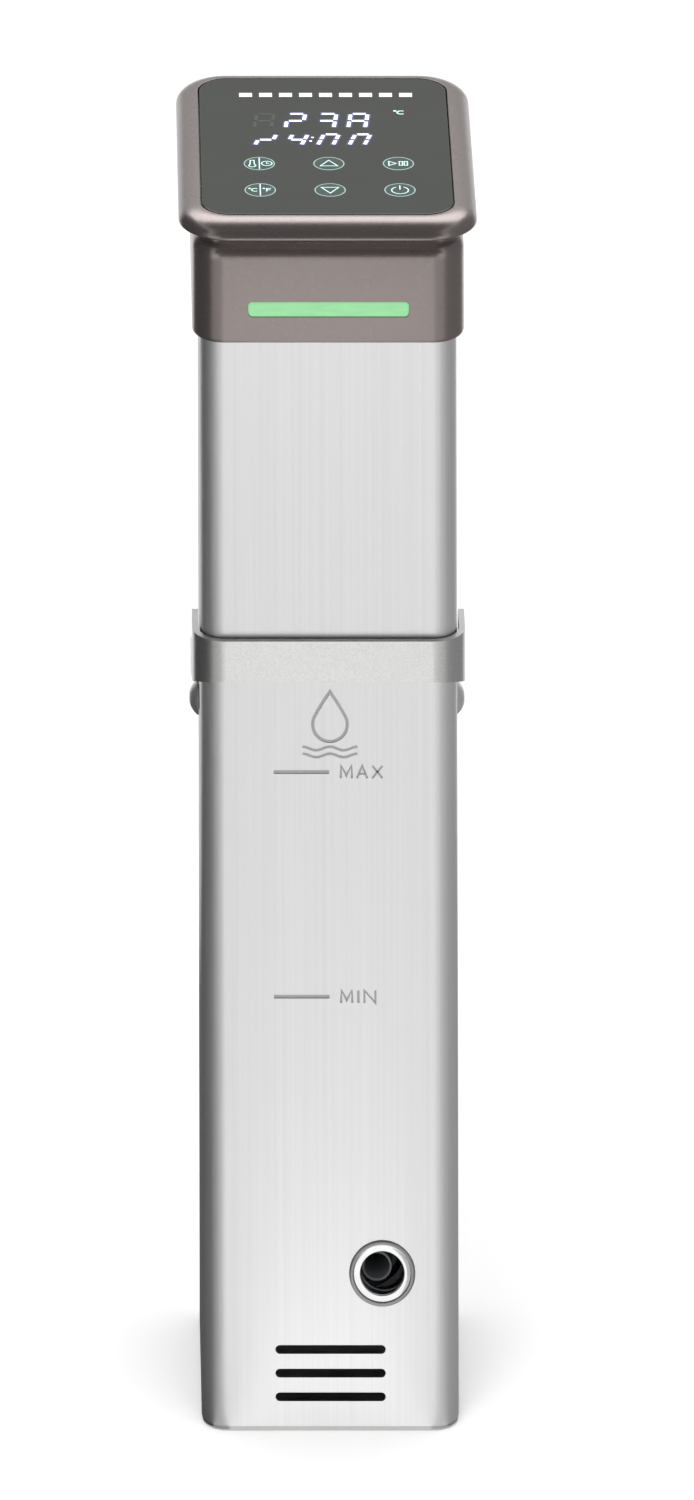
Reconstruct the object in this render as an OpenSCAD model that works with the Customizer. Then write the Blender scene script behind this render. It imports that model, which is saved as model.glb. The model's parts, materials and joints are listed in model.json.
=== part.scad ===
// Immersion circulator: a water heater and pump in a steel tube, with a touch panel on its head
// and a strap clamp that slides on the tube. Millimetres, +Z up, the front faces -Y, and the
// origin is the middle of the base. Below the bulkhead the tube is wet, above it the tube is dry.

/* [Tube] */
// Width of the steel tube, side to side
tube_w = 82.5; // [76:0.5:100]
// Depth of the steel tube, front to back
tube_d = 78; // [76:0.5:94]
// Radius of the tube's upright corners
tube_r = 8; // [5:0.5:12]
// Wall of the steel tube
tube_wall = 1.2; // [0.8:0.1:2]
// Length of the tube that shows below the head
tube_show = 348; // [290:1:420]
// Thickness of the base cap's flange
cap_t = 1.2; // [1:0.1:3]
// Height of the base cap's collar inside the tube
cap_collar_h = 6; // [4:0.5:7]

/* [Water openings] */
// Length of an inlet slot
slot_w = 35.3; // [20:0.1:60]
// Height of an inlet slot
slot_h = 2.8; // [2:0.1:4]
// Height of the lowest slot above the base
slot_z = 10.8; // [10:0.1:14]
// Distance from one slot to the next
slot_pitch = 7.55; // [6:0.05:9]
// Number of inlet slots
slot_count = 3; // [2:1:4]
// Sideways place of the outlet
outlet_x = 16.6; // [13:0.1:17]
// Height of the outlet's centre above the base
outlet_z = 50.2; // [50:0.1:60]
// Inner diameter of the outlet collar
outlet_bore_d = 13.6; // [12:0.1:15]
// Diameter of the collar's sleeve through the tube
outlet_sleeve_d = 18.6; // [17:0.1:20]
// Diameter of the collar's rim on the tube
outlet_rim_d = 21.2; // [20:0.1:25]

/* [Pump] */
// Diameter of the pump and motor shafts
shaft_d = 6; // [4:0.1:8]
// Diameter of the impeller
impeller_d = 36; // [30:0.5:38]
// Number of impeller blades
blade_count = 6; // [4:1:8]
// Inner diameter of the pump chamber
chamber_d = 41; // [40:0.5:43]
// Wall of the pump housing
pump_wall = 3.5; // [3:0.1:5]
// Inner diameter of the outlet pipe
pipe_bore_d = 8.2; // [6:0.1:8.4]
// Wall of the outlet pipe
pipe_wall = 0.7; // [0.5:0.1:1.2]
// Diameter of a support rod
rod_d = 5; // [4:0.1:6]

/* [Heater and sensors] */
// Diameter of the heating element
heater_d = 8; // [6:0.1:8.5]
// Rise of the heating coil in one turn
heater_pitch = 11; // [10:0.5:14]
// Diameter of the temperature probe
probe_d = 5; // [4:0.1:6]
// Diameter of a water level rod
level_rod_d = 4; // [3:0.1:5]

/* [Motor] */
// Length from the underside of the bulkhead to the head's lower edge
dry_h = 138.5; // [136:0.5:160]
// Thickness of the bulkhead
bulkhead_t = 12; // [11.5:0.5:14]
// Outer diameter of the motor
motor_d = 52; // [44:0.5:54]
// Length of the motor's can
motor_h = 53; // [50:0.5:54]
// Outer diameter of the cooling fan
fan_d = 60; // [46:0.5:64]
// Number of fan blades
fan_blades = 7; // [5:1:9]
// Diameter of a side screw's domed head
side_screw_d = 10.8; // [9:0.1:11]

/* [Head] */
// Height of the housing below its neck
housing_h = 27; // [26:0.5:32]
// Wall of the housing
housing_wall = 2.1; // [1.6:0.1:3]
// Length of the head behind the tube
rear_overhang = 32; // [30:0.5:44]
// Corner radius of the housing
housing_r = 10.4; // [9:0.1:13]
// Height of the neck under the bezel, with its gasket
neck_h = 7.5; // [7:0.1:10]
// How far the bezel stands out past the housing
bezel_lip = 4.3; // [3:0.1:6]
// Thickness of the bezel
bezel_t = 5.5; // [5:0.1:7]
// Corner radius of the bezel
bezel_r = 16; // [13:0.5:20]
// Width of the bezel around the glass
bezel_margin = 7.5; // [7:0.1:9]
// Thickness of the glass
glass_t = 3; // [2:0.1:3.2]
// Length of the light bar
light_w = 51.3; // [30:0.1:60]
// Height of the light bar
light_h = 4.5; // [3:0.1:6]
// Height of the light bar's centre above the housing's lower edge
light_z = 10.9; // [9:0.1:12]
// Diameter of the power cord that the gland takes
cord_d = 7.2; // [5:0.1:8]

/* [Clamp] */
// Thickness of the clamp's strap
strap_t = 2; // [1.5:0.1:3]
// Height of the strap across the front
strap_h = 13; // [10:0.5:18]
// Space between the strap and the tube
strap_gap = 0.6; // [0.4:0.1:1]
// Height of the strap's lower front edge above the side screws
strap_rise = 23.5; // [22:0.5:34]
// Thickness of the hook plate
hook_t = 2.5; // [2:0.1:4]
// Width of the hook plate
hook_w = 60; // [44:1:64]
// Space inside the hook, for the pot's wall and the pad
hook_gap = 25.9; // [24:0.1:34]
// Height of the hook plate
hook_h = 42; // [38:0.5:50]
// Opening between the rubber faces as the clamp stands at rest
wall_gap = 6; // [3:0.5:8]
// Diameter of the clamp screw
screw_d = 7.9; // [6:0.1:8]
// Diameter of the clamp knob
knob_d = 32; // [24:0.5:40]
// Thickness of the clamp knob
knob_t = 14; // [10:0.5:18]
// Diameter of the pressure pad
pad_d = 28; // [20:0.5:32]

/* [Hidden] */
$fn = 64;
fit = 0.05;
eps = 0.01;

// tube
half_w = tube_w / 2;
half_d = tube_d / 2;
in_w = tube_w - 2 * tube_wall;
in_d = tube_d - 2 * tube_wall;
in_r = tube_r - tube_wall;
slot_r = slot_h / 2 - eps;
cap_inset = 0.3;
cap_clear = 0.1;
cap_wall = 1.5;
tube_into_head = 5;
tube_top = tube_show + tube_into_head;

// bulkhead, with its seal, side screws and probes
bulk_z = tube_show - dry_h;
bulk_top = bulk_z + bulkhead_t;
bulk_clear = 0.3;
seal_h = 2.5;
seal_depth = 2;
seal_z = bulk_z + 1.2;
max_z = bulk_z + 0.7;
level_span = 71.7;
min_z = max_z - level_span;
mark_w = 18.9;
mark_h = 1.1;
mark_depth = 0.3;
mark_x = -9;
side_screw_z = bulk_top - 5;
side_head_h = 2.9;
side_shank_d = 4;
side_shank_in = 12;
side_washer_d = 7.2;
side_washer_t = 0.5;
seal_ring_d = 16;
seal_lip_h = 8;

// pump
pipe_x = outlet_x - 1.6;
pipe_z = outlet_z - 0.6;
pipe_d = pipe_bore_d + 2 * pipe_wall;
pipe_mouth = 6;
pipe_len = 15;
pump_d = chamber_d + 2 * pump_wall;
chamber_h = 14;
chamber_z = pipe_z - chamber_h / 2 - 1.6;
pump_top_t = 3;
pump_top = chamber_z + chamber_h + pump_top_t;
cover_t = 3;
cover_lip_h = 2;
cover_z = chamber_z - cover_lip_h - cover_t;
eye_d = 16;
impeller_z = chamber_z + 2;
impeller_h = 10;
impeller_disc_t = 2;
impeller_hub_d = 12;
blade_t = 2;
bush_d = 12;
bush_h = 5;
boss_d = 14;
boss_len = 16;
boss_y = -8;
pump_screw_d = 2.5;
pump_screw_head_d = 4.6;
pump_screw_len = 10;
pump_screw_head_h = 2;
pump_screw_r = (chamber_d + pump_wall) / 2;
pump_screw_turn = 30;
rod_circle_r = 12;
rod_count = 3;
pump_screw_count = 3;

// outlet collar
rim_t = 0.6;
sleeve_in = 3.6;
nut_t = 2.6;
nut_d = outlet_rim_d + 3.4;

// heating coil: down a leg, round the coil, inwards, and up a second leg
coil_clear = 5.2;
coil_r = min(in_w, in_d) / 2 - coil_clear - heater_d / 2;
coil_in_r = 20;
coil_z = pump_top + 14;
coil_start = 90;
leg_bend = 8;
helix_turn = 1192;
inward_turn = 180;
helix_rise = heater_pitch * helix_turn / 360;
leg_top = bulk_top + 8;
ring_sides = 10;
bend_steps = 5;
out_bend_turn = leg_bend / coil_r * 180 / PI;
in_bend_turn = leg_bend / coil_in_r * 180 / PI;
leg_in_angle = coil_start + out_bend_turn + helix_turn + inward_turn + in_bend_turn;
gland_sleeve_d = 10;
gland_flange_d = 13;
gland_flange_t = 3.5;
gland_nut_d = 13;
gland_nut_t = 4.5;
leg_clear = 0.1;
probe_x = in_w / 2 - 9;
probe_y = in_d / 2 - 9.8;
probe_above = 5;
cutout_d = 14;
cutout_h = 6.5;
cutout_x = -24;

// motor
standoff_d = 7;
standoff_x = 24.5;
mount_z = bulk_top + 34.5;
mount_t = 3;
mount_r = 6;
mount_w = 2 * standoff_x + 12;
motor_z = mount_z + mount_t;
can_wall = 1.5;
can_floor = 2;
bearing_d = 16;
bearing_h = 6;
bearing_boss_d = 22;
bell_t = 3;
bell_z = motor_z + motor_h;
magnet_t = 3.5;
armature_gap = 1.5;
armature_h = 34;
armature_z = motor_z + 11;
commutator_d = 16;
commutator_h = 3;
coupling_d = 18;
coupling_h = 24;
coupling_z = bulk_top + 6.5;
shaft_split = coupling_z + coupling_h / 2;
fan_z = bell_z + bell_t + 3;
fan_h = 10;
fan_hub_d = 16;
fan_blade_t = 1.5;
fan_blade_w = 10;
fan_blade_tilt = 40;
shaft_top = fan_z + fan_h + 1;

// head
head_gap = 0.3;
housing_w = tube_w + 2 * (head_gap + housing_wall);
housing_d = tube_d + head_gap + housing_wall + rear_overhang;
head_y = (rear_overhang - head_gap - housing_wall) / 2;
housing_in_w = housing_w - 2 * housing_wall;
housing_in_d = housing_d - 2 * housing_wall;
housing_top = tube_show + housing_h;
front_y = head_y - housing_d / 2;
rear_y = head_y + housing_d / 2;
floor_t = 2.4;
floor_top = tube_show + floor_t;
neck_inset = 1.5;
neck_w = housing_w - 2 * neck_inset;
neck_d = housing_d - 2 * neck_inset;
neck_r = housing_r - neck_inset;
neck_in_w = neck_w - 2 * housing_wall;
neck_in_d = neck_d - 2 * housing_wall;
neck_in_r = neck_r - housing_wall;
gasket_t = 1;
bezel_z = housing_top + neck_h;
bezel_top = bezel_z + bezel_t;
bezel_w = housing_w + 2 * bezel_lip;
bezel_d = housing_d + 2 * bezel_lip;
bezel_step = 3;
bezel_edge_t = 3.6;
spigot_clear = 0.1;
spigot_wall = 1.8;
spigot_h = 5;
glass_w = bezel_w - 2 * bezel_margin;
glass_d = bezel_d - 2 * bezel_margin;
glass_r = 9.5;
glass_clear = 0.25;
glass_z = bezel_top - glass_t;
tape_t = 0.3;
ledge_w = 4;
board_t = 1.6;
display_z = glass_z - 8;
board_clear = 0.7;
display_w = neck_in_w - 2 * (spigot_clear + spigot_wall + board_clear);
display_d = neck_in_d - 2 * (spigot_clear + spigot_wall + board_clear);
display_r = 3;
digit_h = 6.2;
digit_upper = [34, 14];
digit_lower = [40, 10];
digit_upper_y = head_y + 20;
digit_lower_x = -6;
digit_lower_y = head_y + 5;
key_x = 22.5;
key_upper_y = head_y - 14.5;
key_lower_y = head_y - 34.4;
key_spring_d = 7;
key_spring_wall = 0.8;
collar_h = 12;
collar_flange_t = 2;
collar_wall = 2;
collar_clear = 0.1;
collar_lip_in = 0.2;
collar_lip_w = 7;
tongue_d = 12;
tongue_gap = 0.3;
tongue_w = 50;
post_d = 5;
post_h = 5;
power_z = tube_top + collar_flange_t + post_h;
power_w = 78;
power_d = 90;
power_y = head_y - 1;
post_x = half_w - 4.8;
post_y = half_d - 8;
part_z = power_z + board_t;
transformer_size = [30, 26, 12];
transformer_x = -18;
transformer_y = power_y + 8;
relay_size = [19, 15, 11];
relay_x = 18;
relay_y = power_y + 14;
fin_count = 8;
fin_pitch = 5;
fin_t = 1.6;
fin_h = 9;
sink_t = 3;
sink_d = 26;
sink_x = 10;
sink_y = power_y - 30;
light_proud = 0.2;
light_r = 1.3;
light_board_w = light_w + 6;
light_flange = 1.2;
light_flange_t = 1;
light_board_t = 1.2;
light_board_h = 12;
vent_count = 6;
vent_w = 2.4;
vent_pitch = 5.2;
vent_h = 14;
vent_x = 8;
vent_z = tube_show + 8;
floor_vent_shift = 5;
floor_vent_d = 16;
gland_x = -20;
gland_z = tube_show + 13;
gland_body_d = 15;
gland_hex_d = 19;
gland_len = 12;
gland_hex_t = 4;
gland_thread_d = 12;
gland_inside = 8;
gland_nut_in_t = 3;
tie_x = 34;
tie_y = rear_y - housing_wall - 6;
tie_d = 3;
tie_head_d = 5.6;
tie_head_t = 2;
tie_boss_d = 7;
collar_screw_d = 3;
collar_screw_x = 15;

// clamp
strap_z = side_screw_z + strap_rise;
strap_top = strap_z + strap_h;
strap_in_w = tube_w + 2 * strap_gap;
strap_in_d = tube_d + 2 * strap_gap;
strap_in_r = tube_r + strap_gap;
strap_front = -strap_in_d / 2 - strap_t;
strap_back = strap_in_d / 2 + strap_t;
arm_fall = 33.5;
arm_h = 11;
ear_len = 23.5;
ear_slant = 4;
arm_low_z = strap_z - arm_fall;
arm_slope = arm_fall / (strap_back - strap_front);
ear_end = strap_front + ear_len;
ear_foot = ear_end + ear_slant;
flange_w = 9;
hook_in_y = strap_back;
hook_face_y = hook_in_y + hook_t;
hook_out_y = hook_face_y + hook_gap;
hook_back_y = hook_out_y + hook_t;
liner_t = 1.5;
liner_inset = 3;
liner_h = 34;
rivet_d = 4;
screw_z = arm_low_z + 18;
liner_y = hook_face_y + liner_t;
pad_rubber_t = 2;
pad_t = 4;
pad_hub_d = 16;
pad_hub_h = 4.4;
pad_y = liner_y + wall_gap;
pad_back_y = pad_y + pad_rubber_t + pad_t + pad_hub_h;
tip_d = 5.9;
tip_len = 4;
tip_gap = 0.3;
boss_inner_d = 12;
boss_outer_d = 18;
boss_out = 4;
knob_clear = 0.5;
knob_y = hook_back_y + boss_out + wall_gap + knob_clear;
knob_lobes = 6;
knob_cut_d = 9;
knob_skirt_t = 3;
knob_grip_in = 10;

// flat outlines and plates

module rounded_rect(w, d, r) {
    square([w - 2 * r, d], center = true);
    square([w, d - 2 * r], center = true);
    for (x = [-1, 1], y = [-1, 1])
        translate([x * (w / 2 - r), y * (d / 2 - r)])
            circle(r);
}

module plate(w, d, r, z, h) {
    translate([0, 0, z])
        linear_extrude(h)
            rounded_rect(w, d, r);
}

module wall_ring(w, d, r, wall, z, h) {
    difference() {
        plate(w, d, r, z, h);
        plate(w - 2 * wall, d - 2 * wall, max(r - wall, 0.5), z - 1, h + 2);
    }
}

module disc(d, z, h) {
    translate([0, 0, z])
        cylinder(d = d, h = h);
}

module tube_ring(outer_d, inner_d, z, h) {
    difference() {
        disc(outer_d, z, h);
        disc(inner_d, z - 1, h + 2);
    }
}

// a cylinder that runs towards +Y from a point
module rod_y(d, x, y, z, length) {
    translate([x, y, z])
        rotate([-90, 0, 0])
            cylinder(d = d, h = length);
}

module block(x, y, z, w, d, h) {
    translate([x - w / 2, y, z])
        cube([w, d, h]);
}

// a slot with rounded corners, cut through towards +Y
module slot_y(w, h, r, x, y, z, depth) {
    translate([x, y, z])
        rotate([-90, 0, 0])
            linear_extrude(depth)
                rounded_rect(w, h, r);
}

// shell of the wet and dry tube

module steel_tube() {
    color("silver")
        difference() {
            wall_ring(tube_w, tube_d, tube_r, tube_wall, cap_t, tube_top - cap_t);
            for (i = [0 : slot_count - 1])
                slot_y(slot_w, slot_h, slot_r, 0, -half_d - 1, slot_z + i * slot_pitch, tube_wall + 2);
            rod_y(outlet_sleeve_d, outlet_x, -half_d - 1, outlet_z, tube_wall + 2);
            for (z = [min_z, max_z])
                block(mark_x, -half_d - 1, z - mark_h / 2, mark_w, 1 + mark_depth, mark_h);
            translate([-half_w - 1, 0, side_screw_z])
                rotate([0, 90, 0])
                    cylinder(d = side_shank_d, h = tube_w + 2);
        }
}

module base_cap() {
    color("gray") {
        plate(tube_w - 2 * cap_inset, tube_d - 2 * cap_inset, tube_r - cap_inset, 0, cap_t);
        wall_ring(in_w - 2 * cap_clear, in_d - 2 * cap_clear, in_r, cap_wall, cap_t, cap_collar_h);
    }
}

// outlet and pump

module outlet_collar() {
    color("white")
        difference() {
            union() {
                rod_y(outlet_rim_d, outlet_x, -half_d - rim_t, outlet_z, rim_t);
                rod_y(outlet_sleeve_d, outlet_x, -half_d, outlet_z, tube_wall + sleeve_in);
            }
            rod_y(outlet_bore_d, outlet_x, -half_d - 2, outlet_z, tube_wall + sleeve_in + 4);
        }
}

module outlet_nut() {
    color("gray")
        difference() {
            translate([outlet_x, -half_d + tube_wall, outlet_z])
                rotate([-90, 0, 0])
                    cylinder(d = nut_d, h = nut_t, $fn = 6);
            rod_y(outlet_sleeve_d, outlet_x, -half_d, outlet_z, tube_wall + nut_t + 2);
        }
}

module outlet_pipe() {
    color("dimgray")
        difference() {
            rod_y(pipe_d, pipe_x, -half_d + pipe_mouth, pipe_z, pipe_len);
            rod_y(pipe_bore_d, pipe_x, -half_d + pipe_mouth - 1, pipe_z, pipe_len + 2);
        }
}

module pump_housing() {
    color("darkslategray")
        difference() {
            union() {
                disc(pump_d, chamber_z - cover_lip_h, pump_top - chamber_z + cover_lip_h);
                rod_y(boss_d, pipe_x, boss_y - boss_len, pipe_z, boss_len);
            }
            disc(chamber_d, chamber_z - cover_lip_h - 1, chamber_h + cover_lip_h + 1);
            disc(bush_d, chamber_z, chamber_h + pump_top_t + 1);
            rod_y(pipe_d, pipe_x, boss_y - boss_len - 1, pipe_z, boss_len - boss_y + 1);
            pump_screw_holes();
        }
}

module pump_screw_holes() {
    for (i = [0 : pump_screw_count - 1])
        rotate([0, 0, pump_screw_turn + i * 360 / pump_screw_count])
            translate([pump_screw_r, 0, cover_z - 1])
                cylinder(d = pump_screw_d, h = pump_screw_len + 1);
}

module pump_cover() {
    color("dimgray")
        difference() {
            union() {
                disc(pump_d, cover_z, cover_t);
                disc(chamber_d - 2 * fit, cover_z + cover_t, cover_lip_h);
            }
            disc(eye_d, cover_z - 1, cover_t + cover_lip_h + 2);
            pump_screw_holes();
        }
}

module pump_screws() {
    color("silver")
        for (i = [0 : pump_screw_count - 1])
            rotate([0, 0, pump_screw_turn + i * 360 / pump_screw_count])
                translate([pump_screw_r, 0, cover_z]) {
                    cylinder(d = pump_screw_d, h = pump_screw_len);
                    translate([0, 0, -pump_screw_head_h])
                        cylinder(d = pump_screw_head_d, h = pump_screw_head_h);
                }
}

module pump_bush() {
    color("goldenrod")
        tube_ring(bush_d, shaft_d + 2 * fit, pump_top - pump_top_t, bush_h);
}

module impeller() {
    color("white")
        difference() {
            union() {
                disc(impeller_d, impeller_z + impeller_h - impeller_disc_t, impeller_disc_t);
                disc(impeller_hub_d, impeller_z, impeller_h);
                for (i = [0 : blade_count - 1])
                    rotate([0, 0, i * 360 / blade_count])
                        translate([impeller_hub_d / 4, blade_t, impeller_z])
                            cube([impeller_d / 2 - impeller_hub_d / 4 - 1, blade_t, impeller_h - 1]);
            }
            disc(shaft_d, impeller_z - 1, impeller_h + 2);
        }
}

module pump_shaft() {
    color("silver")
        disc(shaft_d, impeller_z, shaft_split - impeller_z);
}

module support_rods() {
    color("silver")
        for (i = [0 : rod_count - 1])
            rotate([0, 0, i * 360 / rod_count])
                translate([rod_circle_r, 0, pump_top])
                    cylinder(d = rod_d, h = bulk_z - pump_top);
}

// heating coil: each station is [angle, radius, height]

function leg_stations(angle, radius, low, high) = [[angle, radius, low], [angle, radius, high]];

function out_bend(i) =
    let (t = 90 * i / bend_steps)
        [coil_start + out_bend_turn * (1 - cos(t)), coil_r,
         coil_z + helix_rise + leg_bend * (1 - sin(t))];

function helix_station(i, steps) =
    [coil_start + out_bend_turn + helix_turn * i / steps, coil_r, coil_z + helix_rise * (1 - i / steps)];

function inward_station(i, steps) =
    let (s = (1 - cos(180 * i / steps)) / 2)
        [coil_start + out_bend_turn + helix_turn + inward_turn * i / steps,
         coil_r + (coil_in_r - coil_r) * s, coil_z];

function in_bend(i) =
    let (t = 90 * i / bend_steps)
        [leg_in_angle - in_bend_turn * (1 - sin(t)), coil_in_r, coil_z + leg_bend * (1 - cos(t))];

function coil_stations() = concat(
    [[coil_start, coil_r, leg_top]],
    [for (i = [0 : bend_steps]) out_bend(i)],
    [for (i = [1 : 56]) helix_station(i, 56)],
    [for (i = [1 : 10]) inward_station(i, 10)],
    [for (i = [1 : bend_steps]) in_bend(i)],
    [[leg_in_angle, coil_in_r, leg_top]]);

function station_point(s) = [s[1] * cos(s[0]), s[1] * sin(s[0]), s[2]];

function unit(v) = v / norm(v);

function ring_at(points, stations, i, radius) =
    let (last = len(points) - 1,
         along = unit(points[min(i + 1, last)] - points[max(i - 1, 0)]),
         outward = [cos(stations[i][0]), sin(stations[i][0]), 0],
         side = unit(cross(along, outward)),
         up = cross(side, along))
        [for (k = [0 : ring_sides - 1])
            points[i] + radius * (cos(360 * k / ring_sides) * up + sin(360 * k / ring_sides) * side)];

module swept_tube(stations, radius) {
    points = [for (s = stations) station_point(s)];
    count = len(points);
    rings = [for (i = [0 : count - 1]) each ring_at(points, stations, i, radius)];
    sides = [for (i = [0 : count - 2], k = [0 : ring_sides - 1])
        [i * ring_sides + k, i * ring_sides + (k + 1) % ring_sides,
         (i + 1) * ring_sides + (k + 1) % ring_sides, (i + 1) * ring_sides + k]];
    first = [for (k = [ring_sides - 1 : -1 : 0]) k];
    last = [for (k = [0 : ring_sides - 1]) (count - 1) * ring_sides + k];
    polyhedron(points = rings, faces = concat(sides, [first], [last]), convexity = 10);
}

module heater_coil() {
    color("dimgray")
        swept_tube(coil_stations(), heater_d / 2);
}

module at_heater_legs() {
    for (leg = [[coil_start, coil_r], [leg_in_angle, coil_in_r]])
        rotate([0, 0, leg[0]])
            translate([leg[1], 0, 0])
                children();
}

module heater_glands() {
    color("goldenrod")
        at_heater_legs()
            difference() {
                union() {
                    disc(gland_flange_d, bulk_z - gland_flange_t, gland_flange_t);
                    disc(gland_sleeve_d, bulk_z, bulkhead_t);
                    translate([0, 0, bulk_top])
                        cylinder(d = gland_nut_d, h = gland_nut_t, $fn = 6);
                }
                disc(heater_d + 2 * leg_clear, bulk_z - gland_flange_t - 1, bulkhead_t + 20);
            }
}

module temperature_probe() {
    color("silver")
        translate([-probe_x, -probe_y, 0])
            disc(probe_d, pump_top + 8, bulk_top + probe_above - pump_top - 8);
}

module level_rods() {
    color("silver") {
        translate([probe_x, -probe_y, 0])
            disc(level_rod_d, min_z, bulk_top + probe_above - min_z);
        translate([probe_x, probe_y, 0])
            disc(level_rod_d, min_z, bulk_top + probe_above - min_z);
    }
}

module thermal_cutout() {
    color("ivory")
        translate([cutout_x, 0, 0])
            disc(cutout_d, bulk_top, cutout_h);
}

// bulkhead between the wet and the dry part

module bulkhead() {
    color("whitesmoke")
        difference() {
            plate(in_w - 2 * bulk_clear, in_d - 2 * bulk_clear, in_r - bulk_clear, bulk_z, bulkhead_t);
            bulkhead_seal_shape(1);
            disc(seal_ring_d, bulk_top - seal_lip_h, seal_lip_h + 1);
            disc(shaft_d + 1, bulk_z - 1, bulkhead_t + 2);
            at_heater_legs()
                disc(gland_sleeve_d, bulk_z - 1, bulkhead_t + 2);
            translate([-probe_x, -probe_y, 0])
                disc(probe_d, bulk_z - 1, bulkhead_t + 2);
            for (y = [-1, 1])
                translate([probe_x, y * probe_y, 0])
                    disc(level_rod_d, bulk_z - 1, bulkhead_t + 2);
            for (side = [-1, 1])
                side_place(side)
                    translate([0, 0, -tube_wall - side_shank_in])
                        cylinder(d = side_shank_d, h = side_shank_in);
        }
}

module bulkhead_seal_shape(over) {
    difference() {
        plate(in_w + 2 * over, in_d + 2 * over, in_r + over, seal_z, seal_h);
        plate(in_w - 2 * (bulk_clear + seal_depth), in_d - 2 * (bulk_clear + seal_depth),
              in_r - bulk_clear - seal_depth, seal_z - 1, seal_h + 2);
    }
}

module bulkhead_seal() {
    color("firebrick")
        bulkhead_seal_shape(0);
}

module shaft_seal() {
    color("black")
        tube_ring(seal_ring_d, shaft_d + 2 * fit, bulk_top - seal_lip_h, seal_lip_h);
}

// moves its children to a side of the tube, with +Z pointing out of the wall
module side_place(side) {
    translate([side * half_w, 0, side_screw_z])
        rotate([0, side * 90, 0])
            children();
}

module side_screws() {
    dome_r = (pow(side_screw_d / 2, 2) + pow(side_head_h, 2)) / (2 * side_head_h);
    color("silver")
        for (side = [-1, 1])
            side_place(side) {
                translate([0, 0, -tube_wall - side_shank_in])
                    cylinder(d = side_shank_d, h = tube_wall + side_shank_in + side_washer_t + 1);
                translate([0, 0, side_washer_t])
                    rotate_extrude()
                        intersection() {
                            translate([0, side_head_h - dome_r])
                                circle(dome_r);
                            square([side_screw_d / 2, side_head_h]);
                        }
            }
}

module side_washers() {
    color("black")
        for (side = [-1, 1])
            side_place(side)
                tube_ring(side_washer_d, side_shank_d, 0, side_washer_t);
}

// motor and fan

module shaft_coupling() {
    color("gray")
        tube_ring(coupling_d, shaft_d, coupling_z, coupling_h);
}

module motor_standoffs() {
    color("goldenrod")
        for (x = [-1, 1], y = [-1, 1])
            translate([x * standoff_x, y * standoff_x, bulk_top])
                cylinder(d = standoff_d, h = mount_z - bulk_top, $fn = 6);
}

module motor_mount() {
    color("silver")
        difference() {
            plate(mount_w, mount_w, mount_r, mount_z, mount_t);
            disc(bearing_d, mount_z - 1, mount_t + 2);
        }
}

module motor_can() {
    color("darkgray")
        difference() {
            disc(motor_d, motor_z, motor_h);
            tube_ring(motor_d - 2 * can_wall, bearing_boss_d, motor_z + can_floor, motor_h);
            disc(bearing_boss_d + 1, motor_z + bearing_h + 1, motor_h);
            disc(bearing_d, motor_z - 1, motor_h);
        }
}

module motor_end_bell() {
    color("black")
        difference() {
            union() {
                disc(motor_d, bell_z, bell_t);
                disc(bearing_boss_d, bell_z + bell_t - bearing_h - 1, bearing_h + 1);
            }
            disc(bearing_d, bell_z + bell_t - bearing_h, bearing_h + 1);
            disc(shaft_d + 2, bell_z - bearing_h, 2 * bearing_h);
        }
}

module motor_magnets() {
    outer = motor_d - 2 * can_wall;
    color("dimgray")
        for (side = [0, 180])
            rotate([0, 0, side])
                intersection() {
                    tube_ring(outer, outer - 2 * magnet_t, armature_z - 1, armature_h + 2);
                    block(0, outer / 8, armature_z - 2, outer, outer, armature_h + 4);
                }
}

module motor_armature() {
    core_d = motor_d - 2 * (can_wall + magnet_t + armature_gap);
    color("peru") {
        disc(shaft_d, shaft_split, shaft_top - shaft_split);
        disc(core_d, armature_z, armature_h);
        disc(commutator_d, armature_z + armature_h, commutator_h);
    }
}

module motor_bearings() {
    color("silver") {
        tube_ring(bearing_d, shaft_d + 2 * fit, motor_z, bearing_h);
        tube_ring(bearing_d, shaft_d + 2 * fit, bell_z + bell_t - bearing_h, bearing_h);
    }
}

module cooling_fan() {
    color("black")
        difference() {
            union() {
                disc(fan_hub_d, fan_z, fan_h);
                for (i = [0 : fan_blades - 1])
                    rotate([0, 0, i * 360 / fan_blades])
                        translate([fan_hub_d / 4, 0, fan_z + fan_h / 2])
                            rotate([fan_blade_tilt, 0, 0])
                                translate([0, -fan_blade_w / 2, -fan_blade_t / 2])
                                    cube([fan_d / 2 - fan_hub_d / 4 - 1, fan_blade_w, fan_blade_t]);
            }
            disc(shaft_d, fan_z - 1, fan_h + 2);
        }
}

// head

module tube_collar() {
    lip_w = tube_w - 2 * collar_lip_in;
    lip_d = tube_d - 2 * collar_lip_in;
    color("dimgray") {
        wall_ring(in_w - 2 * collar_clear, in_d - 2 * collar_clear, in_r - collar_clear, collar_wall,
                  tube_top - collar_h, collar_h);
        difference() {
            plate(lip_w, lip_d, tube_r, tube_top, collar_flange_t);
            plate(in_w - 2 * collar_lip_w, in_d - 2 * collar_lip_w, in_r, tube_top - 1,
                  collar_flange_t + 2);
        }
        difference() {
            block(0, half_d - 4, tube_top, tongue_w, 4 + tongue_gap + tongue_d, collar_flange_t);
            block(0, half_d - 8, tube_top - 1, tongue_w + 2, 4 + eps, collar_flange_t + 2);
            collar_screw_holes();
        }
        difference() {
            block(0, half_d + tongue_gap, floor_top, tongue_w, tongue_d, tube_top - floor_top);
            collar_screw_holes();
        }
    }
}

module collar_screw_holes() {
    for (x = [-1, 1])
        translate([x * collar_screw_x, half_d + tongue_gap + tongue_d / 2, 0])
            disc(collar_screw_d, tube_show - 1, 30);
}

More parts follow.
